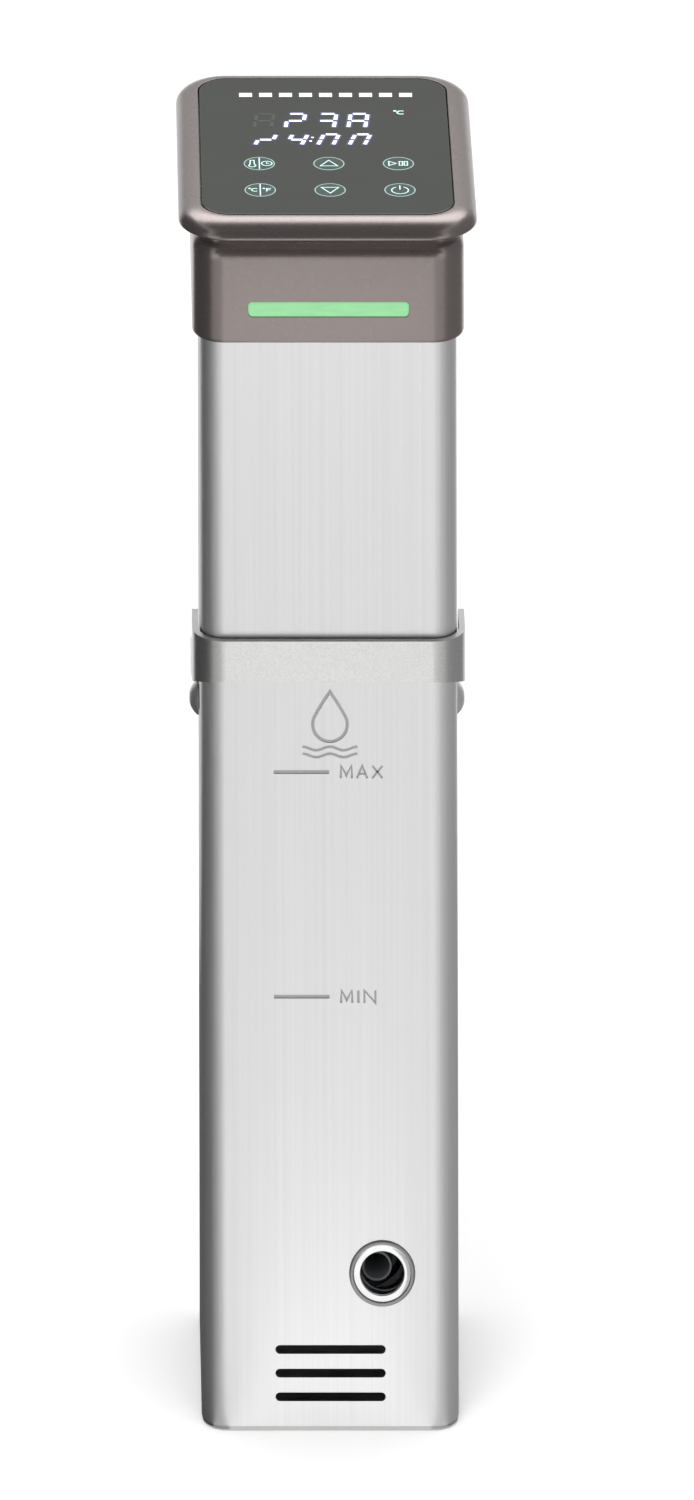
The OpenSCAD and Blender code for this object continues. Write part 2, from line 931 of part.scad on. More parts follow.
module collar_screws() {
    color("silver")
        for (x = [-1, 1])
            translate([x * collar_screw_x, half_d + tongue_gap + tongue_d / 2, 0]) {
                disc(collar_screw_d, tube_show, tube_top + collar_flange_t - tube_show);
                disc(tie_head_d, tube_show - tie_head_t, tie_head_t);
            }
}

module head_shape(w, d, r, z, h) {
    translate([0, head_y, 0])
        plate(w, d, r, z, h);
}

module head_housing() {
    color("rosybrown")
        difference() {
            union() {
                head_shape(housing_w, housing_d, housing_r, tube_show, housing_h);
                head_shape(neck_w, neck_d, neck_r, housing_top, neck_h - gasket_t);
            }
            intersection() {
                head_shape(housing_in_w, housing_in_d, housing_r - housing_wall, tube_show - 1, housing_h);
                union() {
                    block(0, -half_d - 2, tube_show - 1, housing_w, tube_d + 2 + head_gap, housing_h);
                    block(0, -half_d - 2, floor_top, housing_w, housing_d, housing_h);
                }
            }
            head_shape(neck_in_w, neck_in_d, neck_in_r, floor_top + 4, housing_h + neck_h);
            slot_y(light_w, light_h, light_r, 0, front_y - 1, tube_show + light_z, housing_wall + 2);
            for (i = [0 : vent_count - 1])
                vent_cuts(vent_x + i * vent_pitch);
            rod_y(gland_thread_d, gland_x, rear_y - housing_wall - 1, gland_z, housing_wall + 2);
            collar_screw_holes();
            for (x = [-1, 1])
                translate([x * tie_x, tie_y, 0])
                    disc(tie_d, tube_show - 1, floor_t + 2);
        }
}

// one slot in the rear wall, and one in the floor below it on each side
module vent_cuts(x) {
    block(x, rear_y - housing_wall - 1, vent_z, vent_w, housing_wall + 2, vent_h);
    for (side = [-1, 1])
        if (x < tie_x - tie_head_d)
            block(side * (x - floor_vent_shift), rear_y - housing_wall - floor_vent_d, tube_show - 1,
                  vent_w, floor_vent_d - 1, floor_t + 2);
}

module neck_gasket() {
    color("black")
        translate([0, head_y, 0])
            wall_ring(neck_w, neck_d, neck_r, housing_wall, bezel_z - gasket_t, gasket_t);
}

module head_bezel() {
    color("rosybrown")
        difference() {
            union() {
                head_shape(bezel_w, bezel_d, bezel_r, bezel_z, bezel_edge_t);
                head_shape(bezel_w - 2 * bezel_step, bezel_d - 2 * bezel_step, bezel_r - bezel_step,
                           bezel_z, bezel_t);
                translate([0, head_y, 0])
                    wall_ring(neck_in_w - 2 * spigot_clear, neck_in_d - 2 * spigot_clear,
                              neck_in_r - spigot_clear, spigot_wall, bezel_z - spigot_h, spigot_h);
                for (x = [-1, 1])
                    translate([x * tie_x, tie_y, 0])
                        disc(tie_boss_d, floor_top, bezel_z - floor_top);
            }
            head_shape(glass_w + 2 * glass_clear, glass_d + 2 * glass_clear, glass_r + glass_clear,
                       glass_z - tape_t, bezel_t);
            head_shape(glass_w - 2 * ledge_w, glass_d - 2 * ledge_w, glass_r - ledge_w,
                       bezel_z - 1, bezel_t);
            for (x = [-1, 1])
                translate([x * tie_x, tie_y, 0])
                    disc(tie_d, floor_top - 1, bezel_z - floor_top);
        }
}

module bezel_screws() {
    color("silver")
        for (x = [-1, 1])
            translate([x * tie_x, tie_y, 0]) {
                disc(tie_d, tube_show, bezel_z - tube_show - 4);
                disc(tie_head_d, tube_show - tie_head_t, tie_head_t);
            }
}

module display_glass() {
    color("darkslategray")
        head_shape(glass_w, glass_d, glass_r, glass_z, glass_t);
}

module glass_tape() {
    color("black")
        translate([0, head_y, 0])
            wall_ring(glass_w - 1, glass_d - 1, glass_r - 0.5, ledge_w - 1, glass_z - tape_t, tape_t);
}

module display_board() {
    color("darkgreen")
        difference() {
            head_shape(display_w, display_d, display_r, display_z, board_t);
            for (x = [-1, 1])
                translate([x * tie_x, tie_y, 0])
                    disc(tie_boss_d + 1.5, display_z - 1, board_t + 2);
        }
}

module digit_modules() {
    color("black") {
        block(0, digit_upper_y - digit_upper[1] / 2, display_z + board_t,
              digit_upper[0], digit_upper[1], digit_h);
        block(digit_lower_x, digit_lower_y - digit_lower[1] / 2, display_z + board_t,
              digit_lower[0], digit_lower[1], digit_h);
    }
}

module key_springs() {
    color("goldenrod")
        for (x = [-1, 0, 1], y = [key_upper_y, key_lower_y])
            translate([x * key_x, y, 0])
                tube_ring(key_spring_d, key_spring_d - 2 * key_spring_wall, display_z + board_t,
                          glass_z - display_z - board_t);
}

module power_board() {
    color("darkgreen")
        block(0, power_y - power_d / 2, power_z, power_w, power_d, board_t);
}

module board_posts() {
    color("goldenrod")
        for (x = [-1, 1], y = [-1, 1])
            translate([x * post_x, y * post_y, tube_top + collar_flange_t])
                cylinder(d = post_d, h = post_h);
}

module transformer() {
    color("khaki")
        block(transformer_x, transformer_y, part_z,
              transformer_size[0], transformer_size[1], transformer_size[2]);
}

module relay() {
    color("royalblue")
        block(relay_x, relay_y, part_z, relay_size[0], relay_size[1], relay_size[2]);
}

module heat_sink() {
    color("silver") {
        block(sink_x, sink_y, part_z, fin_count * fin_pitch, sink_d, sink_t);
        for (i = [0 : fin_count - 1])
            block(sink_x + (i - (fin_count - 1) / 2) * fin_pitch, sink_y, part_z + sink_t,
                  fin_t, sink_d, fin_h);
    }
}

module light_bar() {
    color("lightgreen") {
        slot_y(light_w, light_h, light_r, 0, front_y - light_proud, tube_show + light_z,
               housing_wall + light_proud);
        slot_y(light_w + 2 * light_flange, light_h + 2 * light_flange, light_r, 0,
               front_y + housing_wall, tube_show + light_z, light_flange_t);
    }
}

module light_board() {
    color("white")
        block(0, front_y + housing_wall + light_flange_t,
              tube_show + light_z - light_h / 2 - light_flange,
              light_board_w, light_board_t, light_board_h);
}

module cord_gland() {
    color("black")
        difference() {
            union() {
                translate([gland_x, rear_y, gland_z])
                    rotate([-90, 0, 0])
                        cylinder(d = gland_hex_d, h = gland_hex_t, $fn = 6);
                rod_y(gland_body_d, gland_x, rear_y + gland_hex_t, gland_z, gland_len - gland_hex_t);
                rod_y(gland_thread_d, gland_x, rear_y - gland_inside, gland_z, gland_inside);
            }
            rod_y(cord_d, gland_x, rear_y - gland_inside - 1, gland_z, gland_inside + gland_len + 2);
        }
}

module gland_nut() {
    color("dimgray")
        difference() {
            translate([gland_x, rear_y - housing_wall - gland_nut_in_t, gland_z])
                rotate([-90, 0, 0])
                    cylinder(d = gland_hex_d, h = gland_nut_in_t, $fn = 6);
            rod_y(gland_thread_d, gland_x, rear_y - gland_inside - 1, gland_z, gland_inside + 1);
        }
}

// clamp: strap round the tube, hook over the pot's wall, and a screw with a pad

// side view of the strap: [y, z] from the lower front edge round to the upper front edge
function strap_outline() = [
    [strap_front, strap_z],
    [strap_back, arm_low_z],
    [strap_back, arm_low_z + arm_h],
    [ear_foot, strap_z - arm_slope * (ear_foot - strap_front) + arm_h],
    [ear_end, strap_top],
    [strap_front, strap_top]
];

module clamp_strap() {
    outer_w = strap_in_w + 2 * strap_t;
    color("silver")
        difference() {
            intersection() {
                wall_ring(outer_w, strap_in_d + 2 * strap_t, strap_in_r + strap_t, strap_t,
                          arm_low_z - 1, strap_top - arm_low_z + 2);
                rotate([90, 0, 90])
                    translate([0, 0, -outer_w])
                        linear_extrude(2 * outer_w)
                            polygon(strap_outline());
            }
            block(0, 0, arm_low_z - 1, hook_w - 2 * flange_w, tube_d, arm_h + 2);
            hook_rivet_shapes();
        }
}

module hook_rivet_shapes() {
    for (x = [-1, 1])
        rod_y(rivet_d, x * (hook_w - flange_w) / 2, strap_back - strap_t, arm_low_z + arm_h / 2,
              strap_t + hook_t);
}

module hook_rivets() {
    color("gray")
        hook_rivet_shapes();
}

module clamp_hook() {
    color("silver")
        difference() {
            block(0, hook_in_y, arm_low_z, hook_w, hook_gap + 2 * hook_t, hook_h);
            block(0, hook_face_y, arm_low_z - 1, hook_w + 2, hook_gap, hook_h + 1 - hook_t);
            hook_rivet_shapes();
            rod_y(boss_inner_d, 0, hook_out_y - 1, screw_z, hook_t + 2);
        }
}

module hook_liner() {
    color("black")
        block(0, hook_face_y, arm_low_z + liner_inset, hook_w - 2 * liner_inset, liner_t, liner_h);
}

module screw_bush() {
    color("gray")
        difference() {
            union() {
                rod_y(boss_inner_d, 0, hook_out_y, screw_z, hook_t);
                rod_y(boss_outer_d, 0, hook_back_y, screw_z, boss_out);
            }
            rod_y(screw_d + 2 * fit, 0, hook_out_y - 1, screw_z, hook_t + boss_out + 2);
        }
}

module clamp_screw() {
    color("silver") {
        rod_y(tip_d, 0, pad_back_y - tip_len + tip_gap, screw_z, tip_len);
        rod_y(screw_d, 0, pad_back_y + tip_gap, screw_z, knob_y + knob_grip_in - pad_back_y - tip_gap);
    }
}

module clamp_knob() {
    color("black")
        difference() {
            union() {
                rod_y(knob_d, 0, knob_y + knob_skirt_t, screw_z, knob_t - knob_skirt_t);
                rod_y(knob_d - 2 * knob_skirt_t, 0, knob_y, screw_z, knob_t);
            }
            rod_y(screw_d, 0, knob_y - 1, screw_z, knob_grip_in + 1);
            for (i = [0 : knob_lobes - 1])
                translate([0, 0, screw_z])
                    rotate([0, i * 360 / knob_lobes, 0])
                        rod_y(knob_cut_d, knob_d / 2 + knob_cut_d / 4, knob_y - 1, 0, knob_t + 2);
        }
}

module pressure_pad() {
    color("gray")
        difference() {
            union() {
                rod_y(pad_d, 0, pad_y + pad_rubber_t, screw_z, pad_t);
                rod_y(pad_hub_d, 0, pad_y + pad_rubber_t + pad_t, screw_z, pad_hub_h);
            }
            rod_y(tip_d + 2 * fit, 0, pad_back_y - tip_len, screw_z, tip_len + 1);
        }
}

module pad_rubber() {
    color("black")
        rod_y(pad_d, 0, pad_y, screw_z, pad_rubber_t);
}

steel_tube();
base_cap();
outlet_collar();
outlet_nut();
outlet_pipe();
pump_housing();
pump_cover();
pump_screws();
pump_bush();
impeller();
pump_shaft();
support_rods();
heater_coil();
heater_glands();
temperature_probe();
level_rods();
thermal_cutout();
bulkhead();
bulkhead_seal();
shaft_seal();
side_screws();
side_washers();
shaft_coupling();
motor_standoffs();
motor_mount();
motor_can();
motor_end_bell();
motor_magnets();
motor_armature();
motor_bearings();
cooling_fan();
tube_collar();
collar_screws();
head_housing();
neck_gasket();
head_bezel();
bezel_screws();
display_glass();
glass_tape();
display_board();
digit_modules();
key_springs();
power_board();
board_posts();
transformer();
relay();
heat_sink();
light_bar();
light_board();
cord_gland();
gland_nut();
clamp_strap();
clamp_hook();
hook_rivets();
hook_liner();
screw_bush();
clamp_screw();
clamp_knob();
pressure_pad();
pad_rubber();
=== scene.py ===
"""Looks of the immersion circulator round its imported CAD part.

Metres, +Z up, the front faces -Y, and the origin is the middle of the base. Each operator makes
one piece or a group of like pieces; main() calls them in order.
"""

import json
import math

import bmesh
import bpy
from bpy.props import FloatProperty, FloatVectorProperty, IntProperty, PointerProperty
from bpy.types import Operator, Panel, PropertyGroup
from mathutils import Matrix, Vector


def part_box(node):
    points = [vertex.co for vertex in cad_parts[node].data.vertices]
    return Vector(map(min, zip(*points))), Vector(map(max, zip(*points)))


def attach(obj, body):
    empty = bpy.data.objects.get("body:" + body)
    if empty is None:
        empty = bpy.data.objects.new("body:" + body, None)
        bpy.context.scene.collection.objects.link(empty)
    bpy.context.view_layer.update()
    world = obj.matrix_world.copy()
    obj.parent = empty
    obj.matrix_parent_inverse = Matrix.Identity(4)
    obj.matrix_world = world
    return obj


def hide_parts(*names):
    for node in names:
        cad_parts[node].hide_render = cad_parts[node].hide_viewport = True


bl_info = {
    "name": "Immersion circulator",
    "version": (1, 0, 0),
    "blender": (4, 5, 0),
    "location": "3D View > Sidebar > Circulator",
    "description": "Builds the visible pieces, finishes and stage of an immersion circulator",
    "category": "Object",
}

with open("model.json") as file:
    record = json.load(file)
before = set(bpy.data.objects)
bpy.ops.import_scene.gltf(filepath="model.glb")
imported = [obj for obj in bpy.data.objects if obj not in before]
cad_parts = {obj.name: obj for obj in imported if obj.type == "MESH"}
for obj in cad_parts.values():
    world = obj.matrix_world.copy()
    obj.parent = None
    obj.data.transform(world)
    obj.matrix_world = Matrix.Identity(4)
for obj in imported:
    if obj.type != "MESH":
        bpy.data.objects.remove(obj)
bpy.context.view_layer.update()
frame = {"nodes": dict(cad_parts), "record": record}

MM = 0.001
CORNER_STEPS = 14
FULL_TURN = 2 * math.pi


# --- small helpers ---------------------------------------------------------------------------


def linear(code):
    """Linear RGB of an sRGB hex colour such as '#8a8a8a'."""
    channels = [int(code[i : i + 2], 16) / 255 for i in (1, 3, 5)]
    return tuple(c / 12.92 if c <= 0.04045 else ((c + 0.055) / 1.055) ** 2.4 for c in channels)


def size_of(node):
    """Lowest corner, highest corner, middle and size of a CAD node."""
    low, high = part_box(node)
    return low, high, (low + high) / 2, high - low


def make_object(name, vertices, faces, sharp=32.0, recalc=True):
    """A mesh object at the origin, with outward normals and edges sharp above an angle."""
    mesh = bpy.data.meshes.new(name)
    mesh.from_pydata([tuple(v) for v in vertices], [], faces)
    obj = bpy.data.objects.new(name, mesh)
    bpy.context.collection.objects.link(obj)
    if recalc:
        work = bmesh.new()
        work.from_mesh(mesh)
        bmesh.ops.recalc_face_normals(work, faces=work.faces)
        work.to_mesh(mesh)
        work.free()
    smooth(obj, sharp)
    return obj


def smooth(obj, sharp=32.0):
    """Smooth shading, split where faces meet at more than the sharp angle."""
    obj.data.shade_smooth()
    obj.data.set_sharp_from_angle(angle=math.radians(sharp))


def rounded_outline(width, depth, radius):
    """Points of a rounded rectangle, anticlockwise."""
    points = []
    for sx, sy, start in ((1, 1, 0), (-1, 1, 90), (-1, -1, 180), (1, -1, 270)):
        for i in range(CORNER_STEPS + 1):
            a = math.radians(start + 90 * i / CORNER_STEPS)
            points.append(
                (
                    sx * (width / 2 - radius) + radius * math.cos(a),
                    sy * (depth / 2 - radius) + radius * math.sin(a),
                )
            )
    return points


def level_ring(width, depth, radius, z, centre_y=0.0, inset=0.0):
    """A rounded rectangle at one height, drawn in by an inset."""
    outline = rounded_outline(width - 2 * inset, depth - 2 * inset, max(radius - inset, 0.0004))
    return [Vector((x, y + centre_y, z)) for x, y in outline]


def round_ring(radius, along, centre, axis, steps=72, lobes=0, lobe_depth=0.0):
    """A circle about a Y or X axis, at a distance along that axis, with lobes if wanted."""
    points = []
    for i in range(steps):
        a = FULL_TURN * i / steps
        r = radius - lobe_depth * (0.5 - 0.5 * math.cos(lobes * a)) ** 2 if lobes else radius
        side, up = r * math.cos(a), r * math.sin(a)
        offset = Vector((side, along, up)) if axis == "Y" else Vector((along, side, up))
        points.append(centre + offset)
    return points


def loft(name, rings, loop=False, sharp=32.0):
    """Skin over rings of equal length. A loop joins the last ring to the first, else both are capped."""
    count = len(rings[0])
    vertices = [p for ring in rings for p in ring]
    faces = []
    for i in range(len(rings) if loop else len(rings) - 1):
        a, b = i * count, (i + 1) % len(rings) * count
        for j in range(count):
            k = (j + 1) % count
            faces.append((a + j, a + k, b + k, b + j))
    if not loop:
        faces.append(tuple(range(count)))
        faces.append(tuple(range(len(vertices) - count, len(vertices))))
    return make_object(name, vertices, faces, sharp)


def lathe(name, profile, centre, axis="Y", steps=72, loop=False, sharp=32.0):
    """A turned shape from (radius, along) stations."""
    rings = [round_ring(r, along, centre, axis, steps) for r, along in profile]
    return loft(name, rings, loop, sharp)


def box_object(name, low, high):
    """A plain box, used for cutting and for the light cards."""
    corners = [(x, y, z) for x in (low[0], high[0]) for y in (low[1], high[1]) for z in (low[2], high[2])]
    faces = [(0, 1, 3, 2), (4, 6, 7, 5), (0, 4, 5, 1), (2, 3, 7, 6), (0, 2, 6, 4), (1, 5, 7, 3)]
    return make_object(name, corners, faces)


def baked(obj):
    """Turns an object's modifiers into plain mesh data."""
    graph = bpy.context.evaluated_depsgraph_get()
    mesh = bpy.data.meshes.new_from_object(obj.evaluated_get(graph), depsgraph=graph)
    obj.modifiers.clear()
    old = obj.data
    obj.data = mesh
    bpy.data.meshes.remove(old)
    return obj


def cut(obj, cutters, sharp=32.0):
    """Takes the cutters out of an object and removes them."""
    group = bpy.data.collections.new("cutters")
    bpy.context.scene.collection.children.link(group)
    for cutter in cutters:
        bpy.context.collection.objects.unlink(cutter)
        group.objects.link(cutter)
    modifier = obj.modifiers.new("cut", "BOOLEAN")
    modifier.operation = "DIFFERENCE"
    modifier.solver = "EXACT"
    modifier.operand_type = "COLLECTION"
    modifier.collection = group
    modifier.use_self = True
    bpy.context.view_layer.update()
    baked(obj)
    for cutter in cutters:
        bpy.data.objects.remove(cutter)
    bpy.data.collections.remove(group)
    smooth(obj, sharp)
    return obj


def join(name, objects):
    """Joins objects into one mesh."""
    work = bmesh.new()
    for obj in objects:
        work.from_mesh(obj.data)
    mesh = bpy.data.meshes.new(name)
    work.to_mesh(mesh)
    work.free()
    for obj in objects:
        bpy.data.objects.remove(obj)
    joined = bpy.data.objects.new(name, mesh)
    bpy.context.collection.objects.link(joined)
    smooth(joined)
    return joined


def finish_piece(obj, body, material, stands_for=()):
    """Gives a piece its material, its CAD body and the nodes it stands for."""
    obj.data.materials.clear()
    obj.data.materials.append(material)
    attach(obj, body)
    if stands_for:
        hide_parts(*stands_for)
    return obj


# --- drawing on a flat face --------------------------------------------------------------------


def ribbon(points, width, closed=False):
    """Left and right edges of a line of some width, with mitred corners."""
    count = len(points)
    left, right = [], []
    for i in range(count):
        here = Vector(points[i])
        before = Vector(points[i - 1]) if closed or i else None
        after = Vector(points[(i + 1) % count]) if closed or i < count - 1 else None
        along_in = (here - before).normalized() if before is not None else None
        along_out = (after - here).normalized() if after is not None else None
        if along_in is None or along_out is None:
            along = along_out if along_in is None else along_in
            reach = 1.0
        else:
            along = (along_in + along_out).normalized()
            reach = 1 / max(along.dot(along_in), 0.45)
        side = Vector((-along.y, along.x)) * width / 2 * reach
        left.append(here + side)
        right.append(here - side)
    return left, right


def stroke_mesh(points, width, place, closed=False):
    """Vertices and faces of a flat line; place turns a drawn point into a 3-D one."""
    left, right = ribbon(points, width, closed)
    count = len(points)
    vertices = [place(p) for p in left + right]
    last = count if closed else count - 1
    faces = [(i, (i + 1) % count, count + (i + 1) % count, count + i) for i in range(last)]
    return vertices, faces


def flat_marks(name, shapes):
    """One object from (vertices, faces) pairs that all face up."""
    vertices, faces = [], []
    for more_vertices, more_faces in shapes:
        start = len(vertices)
        vertices += more_vertices
        faces += [tuple(start + i for i in f) for f in more_faces]
    obj = make_object(name, vertices, faces, recalc=False)
    work = bmesh.new()
    work.from_mesh(obj.data)
    work.normal_update()
    turned = [f for f in work.faces if f.normal.z < 0]
    bmesh.ops.reverse_faces(work, faces=turned)
    work.to_mesh(obj.data)
    work.free()
    return obj


def groove(points, width, depth, front_y, closed=False):
    """A cutter for an engraved line in a face that looks towards -Y: wide outside, narrow at its floor."""
    wide_l, wide_r = ribbon(points, width * 1.25, closed)
    slim_l, slim_r = ribbon(points, width * 0.45, closed)
    count = len(points)
    outside = front_y - depth * 0.6
    inside = front_y + depth
    vertices = []
    for edge, y in ((wide_l, outside), (wide_r, outside), (slim_r, inside), (slim_l, inside)):
        vertices += [Vector((p.x, y, p.y)) for p in edge]
    last = count if closed else count - 1
    faces = []
    for i in range(last):
        j = (i + 1) % count
        for a, b in ((0, 1), (1, 2), (2, 3), (3, 0)):
            faces.append((a * count + i, a * count + j, b * count + j, b * count + i))
    if not closed:
        faces.append((0, count, 2 * count, 3 * count))
        faces.append((count - 1, 2 * count - 1, 3 * count - 1, 4 * count - 1))
    return make_object("groove", vertices, faces)


def slot_cutter(length, height, radius, x, z, y_from, y_to):
    """A cutter through a wall along Y, with rounded ends."""
    ends = []
    for y in (y_from, y_to):
        ends.append([Vector((x + p[0], y, z + p[1])) for p in rounded_outline(length, height, radius)])
    return loft("slot", ends)


def arc_points(centre, radius, start, end, steps):
    """Points of an arc, in degrees."""
    return [
        (
            centre[0] + radius * math.cos(math.radians(start + (end - start) * i / steps)),
            centre[1] + radius * math.sin(math.radians(start + (end - start) * i / steps)),
        )
        for i in range(steps + 1)
    ]


# --- materials ---------------------------------------------------------------------------------


def add_node(tree, kind, inputs=None, **settings):
    """Adds a node, sets its properties, and fills or links its inputs."""
    made = tree.nodes.new(kind)
    for key, value in settings.items():
        setattr(made, key, value)
    for key, value in (inputs or {}).items():
        if isinstance(value, bpy.types.NodeSocket):
            tree.links.new(value, made.inputs[key])
        else:
            made.inputs[key].default_value = value
    return made


def start_material(name):
    """An empty material with a shader, its tree and its Object coordinates in millimetres."""
    material = bpy.data.materials.new(name)
    material.use_nodes = True
    tree = material.node_tree
    tree.nodes.clear()
    output = add_node(tree, "ShaderNodeOutputMaterial")
    shader = add_node(tree, "ShaderNodeBsdfPrincipled")
    tree.links.new(shader.outputs["BSDF"], output.inputs["Surface"])
    where = add_node(tree, "ShaderNodeTexCoord").outputs["Object"]
    millimetres = add_node(tree, "ShaderNodeVectorMath", {0: where, "Scale": 1000.0}, operation="SCALE")
    return material, tree, shader, millimetres.outputs[0]


def stretched(tree, place, x, y, z):
    """Coordinates squeezed along each axis, in cycles per millimetre."""
    made = add_node(tree, "ShaderNodeVectorMath", {0: place, 1: (x, y, z)}, operation="MULTIPLY")
    return made.outputs[0]


def noise(tree, place, detail=3.0, roughness=0.6):
    """Noise between 0 and 1 over coordinates that already hold their scale."""
    made = add_node(
        tree, "ShaderNodeTexNoise", {"Vector": place, "Scale": 1.0, "Detail": detail, "Roughness": roughness}
    )
    return made.outputs["Fac"]


def spread(tree, value, low, high, from_low=0.3, from_high=0.7):
    """Maps a noise value to a range."""
    made = add_node(
        tree,
        "ShaderNodeMapRange",
        {"Value": value, "From Min": from_low, "From Max": from_high, "To Min": low, "To Max": high},
    )
    return made.outputs["Result"]


def tinted(tree, value, dark, light):
    """A colour between two linear colours."""
    made = add_node(
        tree,
        "ShaderNodeMix",
        {0: value, 6: (*dark, 1.0), 7: (*light, 1.0)},
        data_type="RGBA",
    )
    return made.outputs[2]


def scaled(colour, factor):
    """A linear colour made darker or lighter."""
    return tuple(min(c * factor, 1.0) for c in colour)


def bumped(tree, shader, height, depth_mm, strength, edge_mm=0.0):
    """Bump from a height, over edges softened by a small radius."""
    inputs = {"Height": height, "Distance": depth_mm * MM, "Strength": strength}
    if edge_mm:
        inputs["Normal"] = add_node(
            tree, "ShaderNodeBevel", {"Radius": edge_mm * MM}, samples=6
        ).outputs["Normal"]
    bump = add_node(tree, "ShaderNodeBump", inputs)
    tree.links.new(bump.outputs["Normal"], shader.inputs["Normal"])


def brushed_steel(name, code, roughness, along="Z", edge_mm=0.0, streak=0.08, depth=0.010):
    """Stainless steel brushed along one axis: fine streaks in shade, gloss and height."""
    material, tree, shader, place = start_material(name)
    fine = {"X": (0.02, 7.0, 7.0), "Y": (7.0, 0.02, 7.0), "Z": (7.0, 7.0, 0.02)}[along]
    broad = tuple(f * 0.16 for f in fine)
    streaks = noise(tree, stretched(tree, place, *fine), 5.0, 0.65)
    bands = noise(tree, stretched(tree, place, *broad), 2.0)
    both = add_node(tree, "ShaderNodeMath", {0: streaks, 1: bands}, operation="ADD")
    half = add_node(tree, "ShaderNodeMath", {0: both.outputs[0], 1: 0.5}, operation="MULTIPLY").outputs[0]
    base = linear(code)
    mix = spread(tree, half, 0.0, 1.0, 0.38, 0.62)
    colour = tinted(tree, mix, scaled(base, 1 - streak), scaled(base, 1 + streak))
    tree.links.new(colour, shader.inputs["Base Color"])
    shader.inputs["Metallic"].default_value = 1.0
    rough = spread(tree, streaks, roughness - 0.05, roughness + 0.06)
    tree.links.new(rough, shader.inputs["Roughness"])
    if along == "Z":
        round_about = add_node(tree, "ShaderNodeTangent", direction_type="RADIAL", axis="Z")
        tree.links.new(round_about.outputs[0], shader.inputs["Tangent"])
        shader.inputs["Anisotropic"].default_value = 0.7
    bumped(tree, shader, streaks, depth, 0.5, edge_mm)
    return material


def grained(
    name, code, metallic, roughness, grain_mm, depth_mm, shade=0.10, edge_mm=0.0, coat=0.0, gloss=0.06
):
    """An even finish with grain of a real size, such as blasting, casting, moulding or lacquer."""
    material, tree, shader, place = start_material(name)
    grain = noise(tree, stretched(tree, place, *([1 / grain_mm] * 3)), 3.0)
    cloud = noise(tree, stretched(tree, place, *([0.12 / grain_mm] * 3)), 2.0)
    base = linear(code)
    colour = tinted(tree, spread(tree, grain, 0.0, 1.0), scaled(base, 1 - shade), scaled(base, 1 + shade))
    tree.links.new(colour, shader.inputs["Base Color"])
    shader.inputs["Metallic"].default_value = metallic
    tree.links.new(spread(tree, cloud, roughness - gloss, roughness + gloss), shader.inputs["Roughness"])
    if coat:
        shader.inputs["Coat Weight"].default_value = coat
        shader.inputs["Coat Roughness"].default_value = 0.12
    bumped(tree, shader, grain, depth_mm, 0.6, edge_mm)
    return material


def turned_metal(name, code, roughness, edge_mm=0.0):
    """Turned or polished metal: faint rings of tool marks and small changes of gloss."""
    material, tree, shader, place = start_material(name)
    marks = noise(tree, stretched(tree, place, 5.0, 5.0, 5.0), 2.0)
    smear = noise(tree, stretched(tree, place, 0.25, 0.25, 0.25), 3.0)
    base = linear(code)
    colour = tinted(tree, spread(tree, smear, 0.0, 1.0), scaled(base, 0.93), scaled(base, 1.05))
    tree.links.new(colour, shader.inputs["Base Color"])
    shader.inputs["Metallic"].default_value = 1.0
    tree.links.new(spread(tree, smear, roughness - 0.03, roughness + 0.05), shader.inputs["Roughness"])
    bumped(tree, shader, marks, 0.003, 0.4, edge_mm)
    return material


def lacquered_bronze(name, code):
    """Satin bronze lacquer: fine metal flake under a soft clear film."""
    material, tree, shader, place = start_material(name)
    flake = add_node(
        tree, "ShaderNodeTexVoronoi", {"Vector": stretched(tree, place, 9.0, 9.0, 9.0), "Scale": 1.0}
    )
    cells = add_node(tree, "ShaderNodeRGBToBW", {0: flake.outputs["Color"]}).outputs[0]
    peel = noise(tree, stretched(tree, place, 0.7, 0.7, 0.7), 2.0)
    base = linear(code)
    colour = tinted(tree, cells, scaled(base, 0.96), scaled(base, 1.04))
    tree.links.new(colour, shader.inputs["Base Color"])
    shader.inputs["Metallic"].default_value = 0.92
    tree.links.new(spread(tree, peel, 0.27, 0.33), shader.inputs["Roughness"])
    shader.inputs["Coat Weight"].default_value = 0.25
    shader.inputs["Coat Roughness"].default_value = 0.22
    bumped(tree, shader, peel, 0.006, 0.35, 0.25)
    return material


def printed_glass(name, code):
    """Dark glass printed on its back: a faint grey-green body, a fine etched surface and light smears."""
    material, tree, shader, place = start_material(name)
    etch = noise(tree, stretched(tree, place, 12.0, 12.0, 12.0), 2.0)
    smear = noise(tree, stretched(tree, place, 0.05, 0.09, 0.05), 3.0)
    base = linear(code)
    colour = tinted(tree, spread(tree, smear, 0.0, 1.0), scaled(base, 0.94), scaled(base, 1.06))
    tree.links.new(colour, shader.inputs["Base Color"])
    tree.links.new(spread(tree, smear, 0.09, 0.13), shader.inputs["Roughness"])
    bumped(tree, shader, etch, 0.001, 0.3)
    return material


def lit_plastic(name, code, glow, strength):
    """A lit diffuser or lamp: even light with a slight unevenness from the lamps behind it."""
    material, tree, shader, place = start_material(name)
    cloud = noise(tree, stretched(tree, place, 0.12, 0.12, 0.6), 2.0)
    grain = noise(tree, stretched(tree, place, 8.0, 8.0, 8.0), 2.0)
    base = linear(code)
    colour = tinted(tree, spread(tree, cloud, 0.0, 1.0), scaled(base, 0.95), scaled(base, 1.05))
    tree.links.new(colour, shader.inputs["Base Color"])
    light = linear(glow)
    shining = tinted(tree, spread(tree, cloud, 0.0, 1.0), scaled(light, 0.93), scaled(light, 1.04))
    tree.links.new(shining, shader.inputs["Emission Color"])
    shader.inputs["Emission Strength"].default_value = strength
    tree.links.new(spread(tree, grain, 0.32, 0.42), shader.inputs["Roughness"])
    bumped(tree, shader, grain, 0.002, 0.3)
    return material


